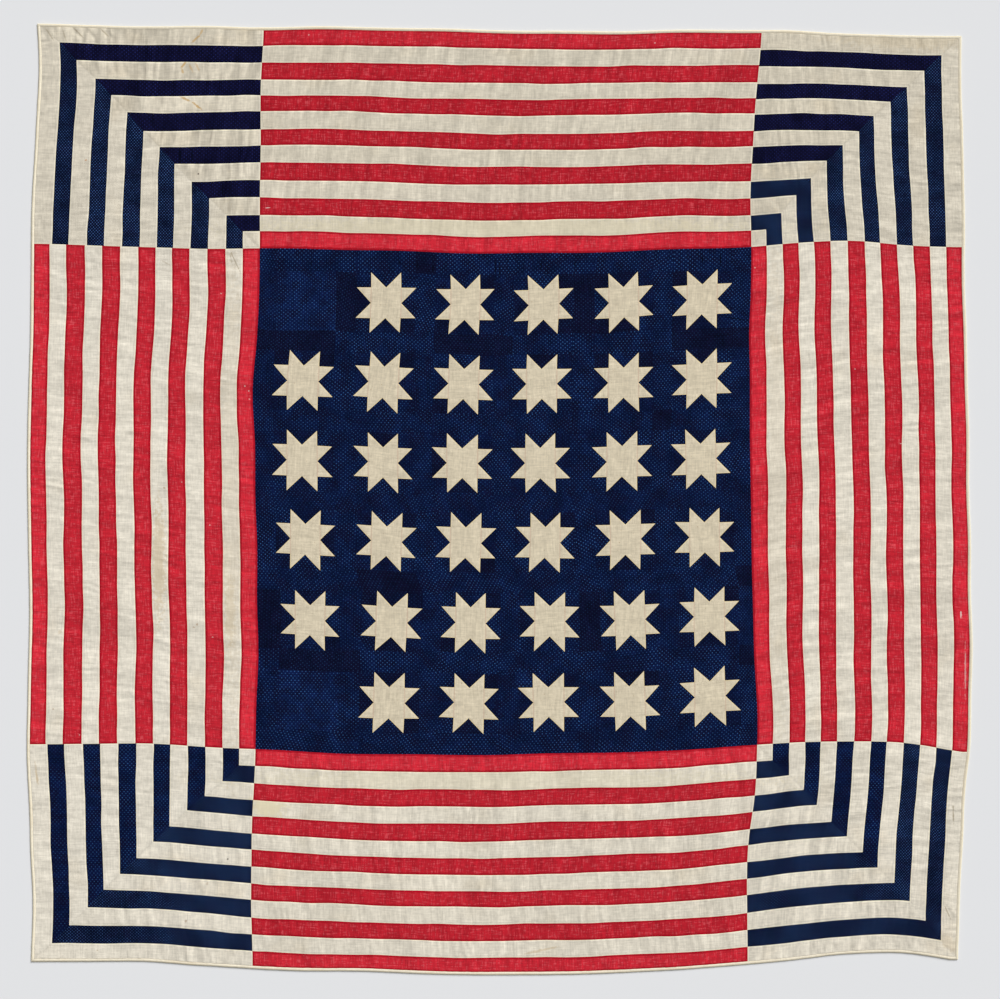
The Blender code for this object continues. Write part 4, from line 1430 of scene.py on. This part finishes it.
def printed_cloth(name, ground, dot_colour, dot_sizes, spots=(), least=0.3):
    """Indigo cotton with a small pale print, worn away unevenly, though never below the least."""
    cloth = Weave(name, COTTON_ROUGHNESS, 0.0)
    lively = cloth.noise(cloth.on_quilt, 55.0, 3.0)
    colour = cloth.mix(cloth.range(cloth.tone, 0.0, 0.3), NEARLY_BLACK, ground)
    colour = cloth.brighten(colour, cloth.range(lively, 0.3, 0.7, 0.8, 1.25))
    colour = cloth.brighten(colour, cloth.range(cloth.tone, 0.9, 1.0, 1.0, 1.35))
    violet = cloth.range(cloth.noise(cloth.on_quilt, 30.0, 3.0), 0.42, 0.62, 0.0, 0.6)
    colour = cloth.mix(violet, colour, VIOLET)
    colour = cloth.threads(colour, 0.15, 0.15)
    colour = cloth.streaked(colour, 3.0, 26.0, 0.2)
    worn = cloth.range(cloth.noise(cloth.on_cloth, 4.0, 1.0), 0.3, 0.7, 0.3, 1.0)
    kept = cloth.math("MULTIPLY", worn, cloth.range(lively, 0.35, 0.65, 0.4, 1.0))
    kept = cloth.math("MULTIPLY", kept, cloth.range(cloth.tone, 0.0, 0.9, least, 1.0))
    printed = cloth.math("MULTIPLY", cloth.dots(*dot_sizes), kept)
    colour = cloth.mix(printed, colour, dot_colour)
    # Painted shade in the seams' ditch: much darker right beside each seam
    colour = cloth.brighten(colour, cloth.range(cloth.seam, 0.3, 2.0, 0.6, 1.0))
    colour = cloth.spots(cloth.paint_fold_shade(colour), spots)
    cloth.plain_weave(depth=0.14)
    return cloth.finish(colour)


def muslin_cloth():
    """Plain unbleached backing."""
    cloth = Weave("muslin", 0.92, 0.1)
    mottle = cloth.range(cloth.noise(cloth.on_quilt, 45.0, 4.0), 0.3, 0.7, 0.94, 1.04)
    colour = cloth.brighten(MUSLIN, mottle)
    cloth.on_cloth = cloth.on_quilt
    colour = cloth.threads(colour, 0.04, 0.03)
    cloth.plain_weave(0.6, 0.2)
    return cloth.finish(colour)


def binding_cloth():
    """Cream cotton of the binding, yellowed, and paler towards its fold."""
    cloth = Weave("binding_cream", COTTON_ROUGHNESS, 0.12)
    colour = cloth.threads(CREAM_BINDING, 0.05, 0.04)
    clouds = cloth.range(cloth.noise(cloth.on_quilt, 60.0, 3.0), 0.45, 0.8, 0.0, 0.25)
    colour = cloth.mix(clouds, colour, CREAM_AGED)
    # Painted shade where the binding meets its seam
    colour = cloth.brighten(colour, cloth.range(cloth.seam, 0.2, 1.0, 0.92, 1.0))
    towards_fold = cloth.range(cloth.seam, BINDING_WIDTH - 2.6, BINDING_WIDTH - 0.6, 0.0, 0.8)
    colour = cloth.mix(towards_fold, colour, FOLD_TAN)
    # Painted light: the bindings that lie away from the light are painted paler, by their tone
    colour = cloth.brighten(colour, cloth.range(cloth.tone, 0.0, 1.0, 1.0, 1.35))
    cloth.plain_weave()
    return cloth.finish(colour)


CLOTHS = {
    "cream": cream_cloth(),
    "star_cream": star_cloth(),
    "red": red_cloth(),
    "indigo_dots": printed_cloth("indigo_dots", INDIGO, PRINT_DOT, SMALL_DOTS, FIELD_FOLD_SHADE),
    "violet_dots": printed_cloth("violet_dots", VIOLET, VIOLET_DOT, SMALL_DOTS, CORNER_SPOTS),
    "fine_dots": printed_cloth("fine_dots", TEAL, TEAL_DOT, FINE_DOTS, least=0.7),
    "muslin": muslin_cloth(),
    "binding_cream": binding_cloth(),
}


def declare(piece, node):
    """Ties a piece to the frame's root, and hides the solid in whose place it lies."""
    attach(piece, "root")
    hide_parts(node)


def make_quilt():
    field = StarField().make()
    declare(field, "star_field")

    for side, (runs_up, _) in SIDES.items():
        length = FIELD_HEIGHT if runs_up else FIELD_WIDTH
        binding = make_binding("binding_" + side, side_place(side), length)
        declare(binding, "binding_" + side)
        border = make_border(side, side_place(side), length, runs_up)
        declare(border, "border_" + side)

    rows = {"head": from_high_edge, "foot": from_low_edge}
    columns = {"left": from_low_edge, "right": from_high_edge}
    for end, row_at in rows.items():
        for side, column_at in columns.items():
            corner = make_corner(end, side, column_at, row_at)
            declare(corner, f"corner_{end}_{side}")


# The photograph's view: straight down, with this much of the floor across the image
VIEW_WIDTH = 2.24
LENS = 85.0
SENSOR = 36.0
VIEW_MIDDLE = (0.0003, 0.0)

# The floor, in metres, just below the quilt's underside, and the light. The sun's angles are
# in degrees: how wide it looks, how far from straight above it stands, and where it turns.
FLOOR_HALF = 40.0
FLOOR_LEVEL = -0.0005
FLOOR_ROUGHNESS = 0.9
SUN_STRENGTH = 3.99
SUN_WIDTH = 28
SUN_TILT = 57
SUN_TURN = 142
ROOM_LIGHT = 0.30
WHITE = (1.0, 1.0, 1.0, 1.0)


def make_camera():
    camera = add_object("camera", bpy.data.cameras.new("camera"))
    camera.data.lens = LENS
    camera.data.sensor_width = SENSOR
    camera.location = (*VIEW_MIDDLE, VIEW_WIDTH * LENS / SENSOR)
    bpy.context.scene.camera = camera


def make_floor():
    mesh = bpy.data.meshes.new("floor")
    sides = ((-1, -1), (1, -1), (1, 1), (-1, 1))
    corners = [(x * FLOOR_HALF, y * FLOOR_HALF, FLOOR_LEVEL) for x, y in sides]
    mesh.from_pydata(corners, [], [(0, 1, 2, 3)])
    material = bpy.data.materials.new("floor")
    material.use_nodes = True
    shader = material.node_tree.nodes["Principled BSDF"]
    shader.inputs["Base Color"].default_value = linear(FLOOR)
    shader.inputs["Roughness"].default_value = FLOOR_ROUGHNESS
    mesh.materials.append(material)
    floor = add_object("floor", mesh)


def make_light():
    """Soft light from the head's right side, and a pale room round it."""
    sun = add_object("key", bpy.data.lights.new("key", "SUN"))
    sun.data.energy = SUN_STRENGTH
    sun.data.angle = math.radians(SUN_WIDTH)
    sun.rotation_euler = (math.radians(SUN_TILT), 0.0, math.radians(SUN_TURN))
    world = bpy.data.worlds.new("room")
    world.use_nodes = True
    room = world.node_tree.nodes["Background"]
    room.inputs["Color"].default_value = WHITE
    room.inputs["Strength"].default_value = ROOM_LIGHT
    bpy.context.scene.world = world
    bpy.context.scene.view_settings.view_transform = "Standard"


make_quilt()
make_floor()
make_light()
make_camera()
